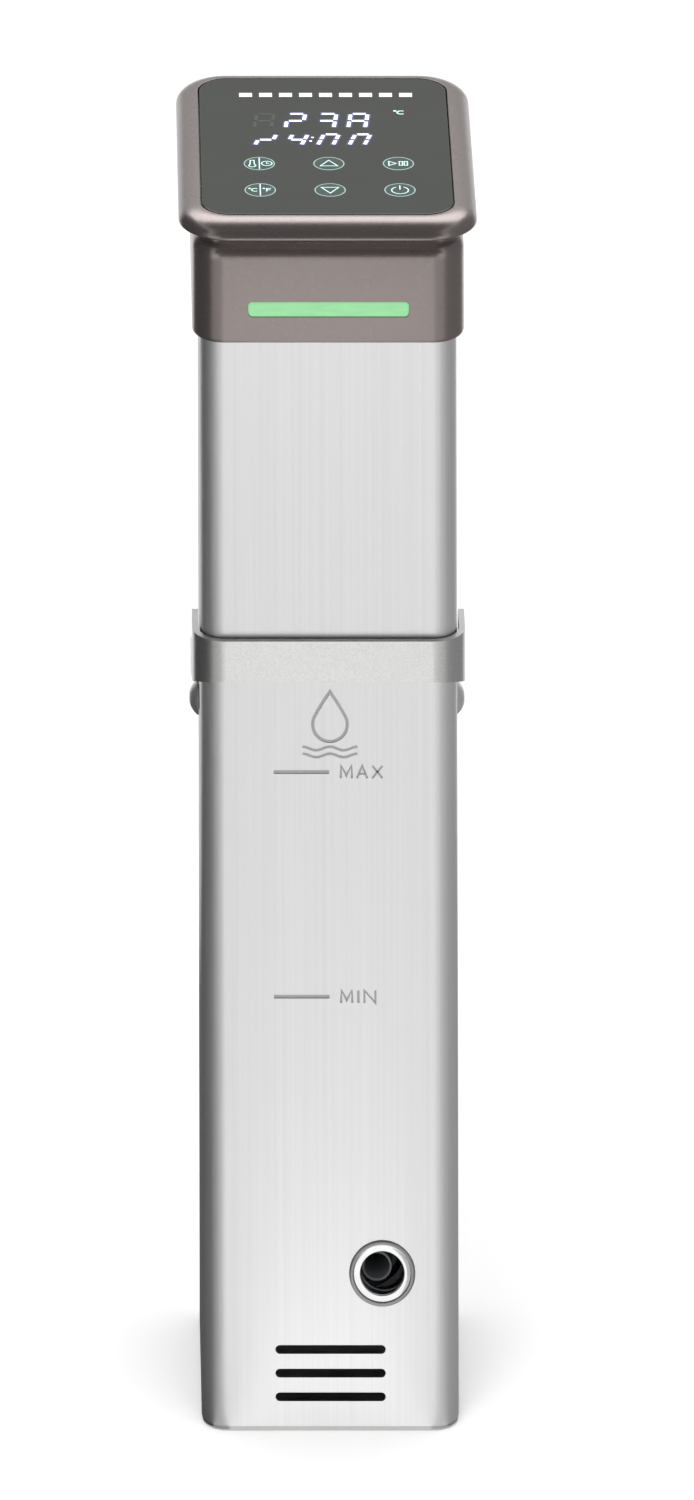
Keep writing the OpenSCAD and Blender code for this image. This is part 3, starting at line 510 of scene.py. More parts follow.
def circuit_board(name, code):
    """Solder mask over copper tracks, with a fine glass-cloth weave."""
    material, tree, shader, place = start_material(name)
    tracks = add_node(
        tree,
        "ShaderNodeTexBrick",
        {"Vector": stretched(tree, place, 0.35, 0.35, 0.35), "Scale": 1.0, "Mortar Size": 0.06},
    )
    weave = add_node(
        tree,
        "ShaderNodeTexWave",
        {"Vector": stretched(tree, place, 2.0, 2.0, 2.0), "Scale": 1.0, "Distortion": 0.4},
    )
    base = linear(code)
    colour = tinted(tree, tracks.outputs["Fac"], base, scaled(base, 1.9))
    tree.links.new(colour, shader.inputs["Base Color"])
    tree.links.new(spread(tree, weave.outputs["Fac"], 0.34, 0.44, 0.0, 1.0), shader.inputs["Roughness"])
    bumped(tree, shader, tracks.outputs["Fac"], 0.03, 0.5, 0.1)
    return material


def heater_sheath(name, code):
    """Heater sheath: oxidised alloy with straw and blue heat tint in drifting patches."""
    material, tree, shader, place = start_material(name)
    patches = noise(tree, stretched(tree, place, 0.08, 0.08, 0.12), 4.0)
    pits = noise(tree, stretched(tree, place, 3.0, 3.0, 3.0), 3.0)
    colour = tinted(tree, spread(tree, patches, 0.0, 1.0), linear(code), linear("#7a6a55"))
    tree.links.new(colour, shader.inputs["Base Color"])
    shader.inputs["Metallic"].default_value = 1.0
    tree.links.new(spread(tree, pits, 0.36, 0.52), shader.inputs["Roughness"])
    bumped(tree, shader, pits, 0.02, 0.5, 0.2)
    return material


def wound_copper(name, code):
    """Windings and laminations: thin turns stacked along the shaft."""
    material, tree, shader, place = start_material(name)
    turns = add_node(
        tree,
        "ShaderNodeTexWave",
        {"Vector": stretched(tree, place, 0.0, 0.0, 1.0), "Scale": 0.5, "Distortion": 0.3},
        bands_direction="Z",
    )
    base = linear(code)
    colour = tinted(tree, turns.outputs["Fac"], scaled(base, 0.6), base)
    tree.links.new(colour, shader.inputs["Base Color"])
    shader.inputs["Metallic"].default_value = 0.9
    tree.links.new(spread(tree, turns.outputs["Fac"], 0.3, 0.5, 0.0, 1.0), shader.inputs["Roughness"])
    bumped(tree, shader, turns.outputs["Fac"], 0.1, 0.6, 0.1)
    return material


def build_finishes():
    """One finish for each of the record's material slots, named for what it is in life."""
    return {
        # seamless stainless tube, belt-brushed along its length
        "brushed_tube": brushed_steel("stainless_brushed_lengthways", "#f2f2f2", 0.39, "Z", 0.0, 0.035),
        # strap punched from pickled sheet and bead blasted: coarse sparkle
        "blasted_strap": grained(
            "stainless_bead_blasted", "#d8d8d7", 1.0, 0.34, 0.38, 0.012, 0.12, 0.0, gloss=0.01
        ),
        # folded and turned steel parts with a satin surface
        "plate_steel": brushed_steel("stainless_satin_plate", "#c9c9c8", 0.32, "X", 0.2, 0.05, 0.006),
        # satin domed screw heads, softer than the tube they sit on
        "satin_head": turned_metal("stainless_satin_headed", "#f2f2f2", 0.45, 0.1),
        # polished stainless: outlet collar, probe, rods, screws, shafts
        "bright_steel": turned_metal("stainless_polished", "#d9d9d9", 0.16, 0.1),
        # bright zinc on small steel parts, faintly yellow
        "zinc_steel": grained("zinc_plated_steel", "#c2c1ba", 1.0, 0.30, 0.6, 0.006, 0.06, 0.1),
        "bronze_housing": lacquered_bronze("bronze_satin_lacquer", "#8d8482"),
        "panel_glass": printed_glass("glass_dark_printed", "#2a2d28"),
        "green_light": lit_plastic("diffuser_lit_green", "#2a5a32", "#9ddba3", 0.87),
        "black_rubber": grained("rubber_black_moulded", "#1c1c1c", 0.0, 0.72, 0.35, 0.03, 0.12, 0.25),
        "red_silicone": grained("silicone_red_moulded", "#a8281c", 0.0, 0.52, 0.5, 0.015, 0.08, 0.15),
        "black_nylon": grained("nylon_black_spark_eroded", "#232323", 0.0, 0.48, 0.28, 0.03, 0.10, 0.3),
        "grey_polymer": grained("polymer_grey_moulded", "#55575a", 0.0, 0.50, 0.4, 0.02, 0.10, 0.2),
        "white_polymer": grained("polymer_white_moulded", "#e4e3de", 0.0, 0.46, 0.6, 0.01, 0.03, 0.2),
        "blue_polymer": grained("relay_case_blue", "#2b5aa0", 0.0, 0.32, 0.8, 0.005, 0.05, 0.2, 0.3),
        "brass_part": turned_metal("brass_turned", "#c9a25a", 0.26, 0.1),
        "heater_sheath": heater_sheath("heater_alloy_oxidised", "#4b4844"),
        "aluminium_part": brushed_steel("aluminium_extruded", "#c8cacc", 0.36, "Y", 0.15, 0.06, 0.008),
        "circuit_board": circuit_board("solder_mask_green", "#0d4a2a"),
        "motor_black": grained("motor_lacquer_black", "#202020", 0.0, 0.35, 0.5, 0.01, 0.1, 0.2, 0.3),
        "magnet_grey": grained("ferrite_sintered", "#3a3a3c", 0.4, 0.55, 0.25, 0.03, 0.18, 0.2),
        "copper_core": wound_copper("armature_copper_and_laminations", "#b5703f"),
        "yellow_tape": grained("winding_tape_yellow", "#c9a83a", 0.0, 0.40, 0.9, 0.02, 0.10, 0.2),
    }


FINISHES = {}


# --- settings ----------------------------------------------------------------------------------


def build_mark_finishes():
    """Finishes of the printed, lit and etched marks, the outlet's faces and the fields of the keys."""
    return {
        # figures lit from behind the glass, and the violet haze round them
        "lit_white": lit_plastic("figures_lit_white", "#d8dcf4", "#f6f6ff", 1.25),
        "lit_halo": lit_plastic("figures_glow_violet", "#3a3f62", "#5a60a8", 0.35),
        # a figure that is off, just visible in the glass
        "unlit": grained("figures_unlit", "#3a3d38", 0.0, 0.3, 0.5, 0.001),
        # ink on the back of the glass, lit from below
        "print_white": lit_plastic("print_white", "#e8ebe8", "#f4f6f4", 0.75),
        "print_teal": lit_plastic("print_pale_teal", "#7b9a95", "#9dbfb8", 0.50),
        # chemically etched floor of the tube's marks
        "etched_mark": grained("steel_etched_dull", "#adadad", 0.75, 0.55, 0.2, 0.01),
        # the outlet's polished face, and the turned lip round it, whose darker grey is painted shade over a
        # rougher surface
        "polished_outlet": turned_metal("stainless_mirror_faced", "#e9e9e9", 0.12, 0.05),
        "lip_painted_shade": turned_metal("stainless_turned_dull", "#9d9d9d", 0.42, 0.05),
        # brighter ink of the key signs, and the dark field inside each ring
        "icon_teal": lit_plastic("print_bright_teal", "#9fc9c4", "#cdf4ee", 0.72),
        "key_field": grained("key_field_dark_teal", "#33403c", 0.0, 0.25, 0.5, 0.001),
    }


def length(name, description, default):
    """A length property in metres."""
    return FloatProperty(
        name=name, description=description, default=default, min=0.0, subtype="DISTANCE", unit="LENGTH"
    )


class TubeSettings(PropertyGroup):
    """Sizes of the tube's marks and edges."""

    corner: length("Corner radius", "Radius of the tube's upright corners", 0.008)
    wall: length("Wall", "Thickness of the tube's wall", 0.0012)
    mark_width: length("Mark width", "Width of an engraved line", 0.0013)
    mark_depth: length("Mark depth", "Depth of an engraved line", 0.0003)
    letter_height: length("Letter height", "Height of the level marks' letters", 0.0039)
    letter_line: length("Letter line", "Width of a letter's stroke", 0.0008)
    slot_length: length("Slot length", "Length of an inlet slot", 0.0353)
    slot_height: length("Slot height", "Height of an inlet slot", 0.0028)
    slot_pitch: length("Slot pitch", "Distance between inlet slots", 0.00755)


class HeadSettings(PropertyGroup):
    """Sizes of the head's housing and rim."""

    rim_radius: length("Rim corner", "Corner radius of the rim", 0.016)
    rim_fall: length("Rim fall", "Height from the rim's top to its widest line", 0.0050)
    housing_radius: length("Housing corner", "Corner radius of the housing", 0.0104)
    wall: length("Wall", "Wall of the housing", 0.0021)
    glass_radius: length("Glass corner", "Corner radius of the glass", 0.0095)
    light_corner: length("Light corner", "Corner radius of the light bar", 0.0013)
    vents: IntProperty(name="Vents", description="Number of slots in the rear wall", default=6, min=1)


class DisplaySettings(PropertyGroup):
    """Sizes of the lit figures and key marks."""

    key_ring: length("Key ring", "Outer diameter of a key's ring", 0.0101)
    key_line: length("Key line", "Width of a key's printed line", 0.00038)
    digit_line: length("Digit line", "Width of a lit segment", 0.00115)


class ClampSettings(PropertyGroup):
    """Sizes of the clamp's screw and knob."""

    pitch: length("Pitch", "Pitch of the clamp screw's thread", 0.002)
    thread_depth: length("Thread depth", "Depth of the thread", 0.0006)
    lobes: IntProperty(name="Lobes", description="Lobes round the knob", default=6, min=3)
    ribs: IntProperty(name="Ribs", description="Grip ribs round the knob's skirt", default=36, min=6)


class StageSettings(PropertyGroup):
    """Light and camera."""

    floor_colour: FloatVectorProperty(
        name="Floor colour",
        description="Colour of the floor",
        default=(0.95, 0.95, 0.95),
        size=3,
        subtype="COLOR",
    )
    sky: FloatProperty(name="Sky", description="Strength of the even light all round", default=1.07, min=0.0)
    lens: length("Lens", "Focal length of the camera", 0.3563)


# --- Geometry Nodes ----------------------------------------------------------------------------


def start_group(name, inputs):
    """A geometry group with named inputs. Returns the tree, its input node and its output node."""
    tree = bpy.data.node_groups.new(name, "GeometryNodeTree")
    tree.interface.new_socket("Geometry", in_out="INPUT", socket_type="NodeSocketGeometry")
    for label, kind, default in inputs:
        socket = tree.interface.new_socket(label, in_out="INPUT", socket_type=kind)
        if default is not None:
            socket.default_value = default
    tree.interface.new_socket("Geometry", in_out="OUTPUT", socket_type="NodeSocketGeometry")
    return tree, add_node(tree, "NodeGroupInput"), add_node(tree, "NodeGroupOutput")


def end_group(tree, given, result, geometry):
    """Realize Instances and Set Material, then the group's output."""
    real = add_node(tree, "GeometryNodeRealizeInstances", {"Geometry": geometry})
    painted = add_node(
        tree,
        "GeometryNodeSetMaterial",
        {"Geometry": real.outputs["Geometry"], "Material": given.outputs["Material"]},
    )
    tree.links.new(painted.outputs["Geometry"], result.inputs["Geometry"])
    return tree


def rib_ring_tree():
    """Round ribs set upright on a circle: grips and grooves that repeat round a turned part."""
    tree, given, result = start_group(
        "rib_ring",
        [
            ("Count", "NodeSocketInt", 24),
            ("Radius", "NodeSocketFloat", 0.01),
            ("Rib Radius", "NodeSocketFloat", 0.0005),
            ("Rib Length", "NodeSocketFloat", 0.005),
            ("Material", "NodeSocketMaterial", None),
        ],
    )
    circle = add_node(
        tree,
        "GeometryNodeMeshCircle",
        {"Vertices": given.outputs["Count"], "Radius": given.outputs["Radius"]},
    )
    rib = add_node(
        tree,
        "GeometryNodeMeshCylinder",
        {"Vertices": 10, "Radius": given.outputs["Rib Radius"], "Depth": given.outputs["Rib Length"]},
    )
    placed = add_node(
        tree,
        "GeometryNodeInstanceOnPoints",
        {"Points": circle.outputs["Mesh"], "Instance": rib.outputs["Mesh"]},
    )
    return end_group(tree, given, result, placed.outputs["Instances"])


def key_ring_tree():
    """Thin printed rings on a grid: the outlines of the touch keys."""
    tree, given, result = start_group(
        "key_rings",
        [
            ("Columns", "NodeSocketInt", 3),
            ("Rows", "NodeSocketInt", 2),
            ("Column Spacing", "NodeSocketFloat", 0.02),
            ("Row Spacing", "NodeSocketFloat", 0.02),
            ("Ring Radius", "NodeSocketFloat", 0.005),
            ("Line Width", "NodeSocketFloat", 0.0004),
            ("Material", "NodeSocketMaterial", None),
        ],
    )

    def span(count, spacing):
        less = add_node(tree, "ShaderNodeMath", {0: given.outputs[count], 1: 1.0}, operation="SUBTRACT")
        made = add_node(
            tree, "ShaderNodeMath", {0: less.outputs[0], 1: given.outputs[spacing]}, operation="MULTIPLY"
        )
        return made.outputs[0]

    grid = add_node(
        tree,
        "GeometryNodeMeshGrid",
        {
            "Size X": span("Columns", "Column Spacing"),
            "Size Y": span("Rows", "Row Spacing"),
            "Vertices X": given.outputs["Columns"],
            "Vertices Y": given.outputs["Rows"],
        },
    )
    circle = add_node(
        tree, "GeometryNodeCurvePrimitiveCircle", {"Resolution": 64, "Radius": given.outputs["Ring Radius"]}
    )
    half = add_node(
        tree, "ShaderNodeMath", {0: given.outputs["Line Width"], 1: 0.5}, operation="MULTIPLY"
    ).outputs[0]
    dot = add_node(tree, "GeometryNodeCurvePrimitiveCircle", {"Resolution": 6, "Radius": half})
    ring = add_node(
        tree,
        "GeometryNodeCurveToMesh",
        {"Curve": circle.outputs["Curve"], "Profile Curve": dot.outputs["Curve"]},
    )
    placed = add_node(
        tree,
        "GeometryNodeInstanceOnPoints",
        {"Points": grid.outputs["Mesh"], "Instance": ring.outputs["Mesh"]},
    )
    return end_group(tree, given, result, placed.outputs["Instances"])


def grown(name, tree, values, placement=None):
    """Runs a tree on an empty mesh and returns the result as a plain object."""
    obj = bpy.data.objects.new(name, bpy.data.meshes.new(name))
    bpy.context.collection.objects.link(obj)
    modifier = obj.modifiers.new("shape", "NODES")
    modifier.node_group = tree
    for socket in tree.interface.items_tree:
        if socket.in_out == "INPUT" and socket.name in values:
            modifier[socket.identifier] = values[socket.name]
    bpy.context.view_layer.update()
    baked(obj)
    if placement is not None:
        obj.data.transform(placement)
    smooth(obj)
    return obj


# --- pieces ------------------------------------------------------------------------------------


def level_letters(word, left, low, height):
    """Strokes of the generic level words, as lists of drawn points."""
    shapes = {
        "M": (0.92, [[(0, 0), (0.04, 1), (0.5, 0.22), (0.96, 1), (1, 0)]]),
        "A": (0.85, [[(0, 0), (0.5, 1), (1, 0)], [(0.22, 0.34), (0.78, 0.34)]]),
        "X": (0.82, [[(0, 0), (1, 1)], [(0, 1), (1, 0)]]),
        "I": (0.16, [[(0.5, 0), (0.5, 1)]]),
        "N": (0.90, [[(0, 0), (0, 1), (1, 0), (1, 1)]]),
    }
    strokes, x = [], left
    for letter in word:
        wide, lines = shapes[letter]
        for line in lines:
            strokes.append([(x + u * wide * height, low + v * height) for u, v in line])
        x += wide * height + 0.42 * height
    return strokes


def drop_symbol(x, z, size):
    """A water drop over two waves: closed outline and open wave lines."""
    round_part = arc_points((x, z), size * 0.30, 160, 380, 22)
    tip = (x, z + size * 0.56)
    shoulder = [(x + size * 0.22, z + size * 0.22), (x + size * 0.11, z + size * 0.40)]
    outline = round_part + shoulder + [tip] + [(2 * x - p[0], p[1]) for p in reversed(shoulder)]
    waves = []
    for row in (0, 1):
        level = z - size * (0.42 + 0.12 * row)
        waves.append(
            [
                (x + size * (i / 24 - 0.5) * 0.95, level + size * 0.03 * math.cos(4 * math.pi * i / 24))
                for i in range(25)
            ]
        )
    return outline, waves


class CIRCULATOR_OT_tube(Operator):
    """Steel tube with its slots, outlet hole, level marks and drop symbol"""

    bl_idname = "circulator.tube"
    bl_label = "Tube"

    def execute(self, context):
        settings = context.scene.circulator_tube
        low, high, _, size = size_of("steel_tube")
        front = low.y
        radius, wall = settings.corner, settings.wall
        edge = 0.0004

        def at(z, inset, corner=radius):
            return level_ring(size.x, size.y, corner, z, 0.0, inset)

        rings = [
            at(low.z, edge),
            at(low.z + edge * 0.3, edge * 0.3),
            at(low.z + edge, 0.0),
            at(low.z + 2 * edge, 0.0),
            at(high.z, 0.0),
            at(high.z, wall),
            at(low.z, wall),
        ]
        tube = loft("tube_shell", rings, loop=True)
        cutters = []
        _, _, bore_middle, _ = size_of("outlet_collar")
        hole = [(0.0093, -0.004), (0.0093, 0.004)]
        cutters.append(lathe("hole", hole, Vector((bore_middle.x, front, bore_middle.z))))
        slot_low = 0.0108
        for i in range(3):
            cutters.append(
                slot_cutter(
                    settings.slot_length,
                    settings.slot_height,
                    settings.slot_height / 2 - 0.00001,
                    0.0,
                    slot_low + i * settings.slot_pitch,
                    front - 0.002,
                    front + 0.004,
                )
            )
        marks = []
        letter, line, thin = settings.letter_height, settings.mark_width, settings.letter_line
        for word, level in (("MAX", 0.2102), ("MIN", 0.1385)):
            marks.append(([(-0.0179, level), (-0.0001, level)], False, line))
            for stroke in level_letters(word, 0.0036, level - letter / 2, letter):
                marks.append((stroke, False, thin))
        outline, waves = drop_symbol(0.0002, 0.2255, 0.0185)
        marks.append((outline, True, line * 0.85))
        marks += [(wave, False, line * 0.7) for wave in waves]
        depth = settings.mark_depth

        def on_floor(p):
            return Vector((p[0], front + depth * 0.72, p[1]))

        floors = []
        for points, closed, width in marks:
            cutters.append(groove(points, width, depth, front, closed))
            floors.append(stroke_mesh(points, width * 0.72, on_floor, closed))
        etched = flat_marks("etched_marks", floors)
        finish_piece(etched, "circulator", FINISHES["etched_mark"])
        _, _, screw_middle, _ = size_of("side_screws")
        shank = [(0.002, -0.05), (0.002, 0.05)]
        cutters.append(lathe("shank", shank, Vector((0, 0, screw_middle.z)), "X", 24))
        cut(tube, cutters, 24.0)
        finish_piece(tube, "circulator", FINISHES["brushed_tube"], ["steel_tube"])
        return {"FINISHED"}


class CIRCULATOR_OT_outlet(Operator):
    """Polished outlet collar: a raised lip, a dished ring and a flat seat round the bore"""

    bl_idname = "circulator.outlet"
    bl_label = "Outlet"

    def execute(self, context):
        low, high, middle, size = size_of("outlet_collar")
        rim = size.x / 2
        face = low.y + 0.0006
        centre = Vector((middle.x, 0, middle.z))
        lip_in = 0.0093
        lip = [
            (rim, face + 0.00002),
            (rim, face - 0.0001),
            (rim - 0.0002, face - 0.00035),
            (rim - 0.0006, face - 0.00055),
            (rim - 0.0010, face - 0.0006),
            (lip_in, face - 0.00045),
            (lip_in, face + 0.0005),
            (rim - 0.0006, face + 0.00002),
        ]
        ring = lathe("outlet_lip_turned", lip, centre, steps=96, loop=True, sharp=40)
        # the lip's darker grey is painted shade, standing in for the dark reflections on its faces
        finish_piece(ring, "circulator", FINISHES["lip_painted_shade"])
        seat = [
            (lip_in, face + 0.0003),
            (lip_in - 0.0001, face - 0.0001),
            (lip_in - 0.0003, face - 0.0002),
            (0.0072, face - 0.0002),
            (0.0069, face + 0.0001),
            (0.0068, face + 0.0005),
            (0.0068, high.y),
            (0.0092, high.y),
            (0.0092, face + 0.0008),
        ]
        collar = lathe("outlet_collar_turned", seat, centre, steps=96, loop=True, sharp=40)
        finish_piece(collar, "circulator", FINISHES["polished_outlet"], ["outlet_collar"])
        return {"FINISHED"}


class CIRCULATOR_OT_side_screws(Operator):
    """Domed side screws with a hexagon socket"""

    bl_idname = "circulator.side_screws"
    bl_label = "Side screws"

    def execute(self, context):
        low, high, middle, size = size_of("side_screws")
        head, dome = size.z / 2, 0.0029
        ball = (head**2 + dome**2) / (2 * dome)
        made = []
        for side, outer in ((-1, low.x), (1, high.x)):
            profile = [(0.0, outer)]
            for i in range(1, 13):
                a = i / 12 * math.asin(head / ball)
                profile.append((ball * math.sin(a), outer - side * ball * (1 - math.cos(a))))
            profile += [
                (head * 0.97, outer - side * (dome + 0.0003)),
                (0.0021, outer - side * (dome + 0.0004)),
                (0.0021, outer - side * 0.0165),
            ]
            centre = Vector((0, middle.y, middle.z))
            screw = lathe("screw", [(max(r, 0.00001), x) for r, x in profile], centre, "X", 48)
            socket = [(0.0017, outer + side * 0.001), (0.0017, outer - side * 0.0017)]
            cut(screw, [lathe("socket", socket, centre, "X", 6)], 40)
            made.append(screw)
        screws = join("side_screws_domed", made)
        finish_piece(screws, "circulator", FINISHES["satin_head"], ["side_screws"])
        return {"FINISHED"}


class CIRCULATOR_OT_housing(Operator):
    """Lower part of the head: rounded skirt, soft shoulder and neck, with its cut-outs"""

    bl_idname = "circulator.housing"
    bl_label = "Head housing"

    def execute(self, context):
        settings = context.scene.circulator_head
        low, high, middle, size = size_of("head_housing")
        radius, wall = settings.housing_radius, settings.wall
        shoulder = high.z - 0.0056

        def at(z, inset):
            return level_ring(size.x, size.y, radius, z, middle.y, inset)

        outer = [
            (low.z, 0.0011),
            (low.z + 0.0001, 0.0006),
            (low.z + 0.0004, 0.0002),
            (low.z + 0.0010, 0.0),
            (low.z + 0.0013, 0.0),
            (shoulder - 0.0018, 0.0),
            (shoulder - 0.0015, 0.0),
            (shoulder - 0.0005, 0.00003),
            (shoulder + 0.0003, 0.00013),
            (shoulder + 0.0010, 0.00032),
            (shoulder + 0.0017, 0.00062),
            (shoulder + 0.0023, 0.00105),
            (shoulder + 0.0028, 0.00155),
            (shoulder + 0.0034, 0.00205),
            (shoulder + 0.0040, 0.0023),
            (shoulder + 0.0047, 0.0024),
            (high.z, 0.0024),
        ]
        housing = loft("head_housing_skin", [at(z, inset) for z, inset in outer], sharp=40)
        _, _, _, tube_size = size_of("steel_tube")
        gap = 0.0003
        floor = low.z + 0.0024
        past = 0.001
        lip = 0.0037
        cavity_stations = ((floor, wall), (shoulder - 0.001, wall), (shoulder, lip), (high.z + past, lip))
        cavity = loft(
            "cavity",
            [level_ring(size.x, size.y, radius, z, middle.y, inset) for z, inset in cavity_stations],
        )
        opening = loft(
            "opening",
            [
                level_ring(tube_size.x + 2 * gap, tube_size.y + 2 * gap, 0.0083, z)
                for z in (low.z - past, floor + past)
            ],
        )
        front, rear = low.y, high.y
        _, _, light_middle, light_size = size_of("light_bar")
        lens_width, lens_height = light_size.x - 0.0024, light_size.z - 0.0024
        cutters = [
            cavity,
            opening,
            slot_cutter(
                lens_width + 0.0003,
                lens_height + 0.0003,
                settings.light_corner,
                0,
                light_middle.z,
                front - 0.002,
                front + 0.006,
            ),
        ]
        for i in range(settings.vents):
            x = 0.008 + i * 0.0052
            cutters.append(slot_cutter(0.0024, 0.014, 0.0011, x, low.z + 0.015, rear - 0.004, rear + 0.002))
            if i < 4:
                for side in (-1, 1):
                    centre_x = side * (x - 0.005)
                    cutters.append(
                        box_object(
                            "floor_vent",
                            (centre_x - 0.0012, rear - 0.0181, low.z - past),
                            (centre_x + 0.0012, rear - 0.0031, floor + past),
                        )
                    )
        _, _, gland_middle, _ = size_of("cord_gland")
        gland_hole = [(0.006, rear - 0.005), (0.006, rear + 0.002)]
        cutters.append(lathe("gland_hole", gland_hole, Vector((gland_middle.x, 0, gland_middle.z))))
        cut(housing, cutters, 35.0)
        finish_piece(housing, "circulator", FINISHES["bronze_housing"], ["head_housing"])
        return {"FINISHED"}


class CIRCULATOR_OT_rim(Operator):
    """Rim round the glass: convex top, rolled edge, tucked-in underside and the pocket for the glass"""

    bl_idname = "circulator.rim"
    bl_label = "Rim"

    def execute(self, context):
        settings = context.scene.circulator_head
        _, high, middle, size = size_of("head_bezel")
        _, _, _, glass_size = size_of("display_glass")
        margin = (size.x - glass_size.x) / 2
        gap = 0.00035
        top, under = high.z, high.z - 0.0055
        radius = settings.rim_radius

        def at(z, inset):
            corner = radius - inset * (radius - settings.glass_radius) / margin
            outline = rounded_outline(size.x - 2 * inset, size.y - 2 * inset, max(corner, 0.004))
            return [Vector((x, y + middle.y, z)) for x, y in outline]

        across, fall = margin - gap, settings.rim_fall
        profile = []
        for i in range(1, 17):
            t = math.radians(90 * i / 16)
            profile.append((across * (1 - math.sin(t)), top - fall * (1 - math.cos(t))))
        lip = top - fall - under
        for i in range(1, 6):
            t = math.radians(18 * i)
            profile.append((lip * 1.4 * (1 - math.cos(t)), under + lip * (1 - math.sin(t))))
        profile = [(across, top - 0.00015), (across - 0.00015, top - 0.00002)] + profile
        profile += [
            (0.0040, under),
            (0.0070, under),
            (0.0070, under - 0.0035),
            (0.0088, under - 0.0035),
            (0.0088, under),
            (0.0114, under),
            (0.0114, top - 0.0034),
            (across, top - 0.0034),
        ]
        rim = loft("head_rim", [at(z, inset) for inset, z in profile], loop=True, sharp=38)
        finish_piece(rim, "circulator", FINISHES["bronze_housing"], ["head_bezel"])
        return {"FINISHED"}


class CIRCULATOR_OT_panel(Operator):
    """Printed glass with a ground edge, and the lit bar on the front"""

    bl_idname = "circulator.panel"
    bl_label = "Glass and light bar"

    def execute(self, context):
        settings = context.scene.circulator_head
        low, high, middle, size = size_of("display_glass")
        radius = settings.glass_radius
        stations = [(low.z, 0.0002), (low.z + 0.0002, 0.0), (high.z - 0.0004, 0.0)]
        stations += [(high.z - 0.0001, 0.00012), (high.z, 0.0004), (high.z, 0.0006)]
        rings = [level_ring(size.x, size.y, radius, z, middle.y, inset) for z, inset in stations]
        glass = loft("panel_glass", rings, sharp=50)
        finish_piece(glass, "circulator", FINISHES["panel_glass"], ["display_glass"])

        low, high, middle, size = size_of("light_bar")
        wide, tall = size.x - 0.0024, size.z - 0.0024
        corner = settings.light_corner
        front = low.y
        stations = [
            (front, 0.0006),
            (front, 0.00045),
            (front + 0.0001, 0.0002),
            (front + 0.0004, 0.0),
            (front + 0.0023, 0.0),
        ]
        rings = []
        for y, inset in stations:
            outline = rounded_outline(wide - 2 * inset, tall - 2 * inset, corner - inset)
            rings.append([Vector((x, y, middle.z + z)) for x, z in outline])
        for y in (front + 0.0023, high.y):
            rings.append([Vector((x, y, middle.z + z)) for x, z in rounded_outline(size.x, size.z, corner)])
        light = loft("light_lens", rings, sharp=50)
        finish_piece(light, "circulator", FINISHES["green_light"], ["light_bar"])
        return {"FINISHED"}


SEGMENTS = {
    "0": "abcef",
    "2": "abge",
    "3": "abgc",
    "4": "fgbc",
    "8": "abcefg",
    "short 2": "bge",
}


def digit_lines(digit, x, y, wide, tall, slant):
    """Centre lines of a seven-segment digit's lit bars, leaning to the right."""
    corner = {
        "a": ((0, 1), (1, 1)),
        "b": ((1, 1), (1, 0.5)),
        "c": ((1, 0.5), (1, 0)),
        "d": ((0, 0), (1, 0)),
        "e": ((0, 0.5), (0, 0)),
        "f": ((0, 1), (0, 0.5)),
        "g": ((0, 0.5), (1, 0.5)),
    }
    lines = []
    for bar in SEGMENTS[digit]:
        ends = []
        (u0, v0), (u1, v1) = corner[bar]
        for share in (0.13, 0.87):
            u, v = u0 + (u1 - u0) * share, v0 + (v1 - v0) * share
            ends.append((x + wide * u + slant * tall * (v - 0.5), y + tall * v))
        lines.append(ends)
    return lines


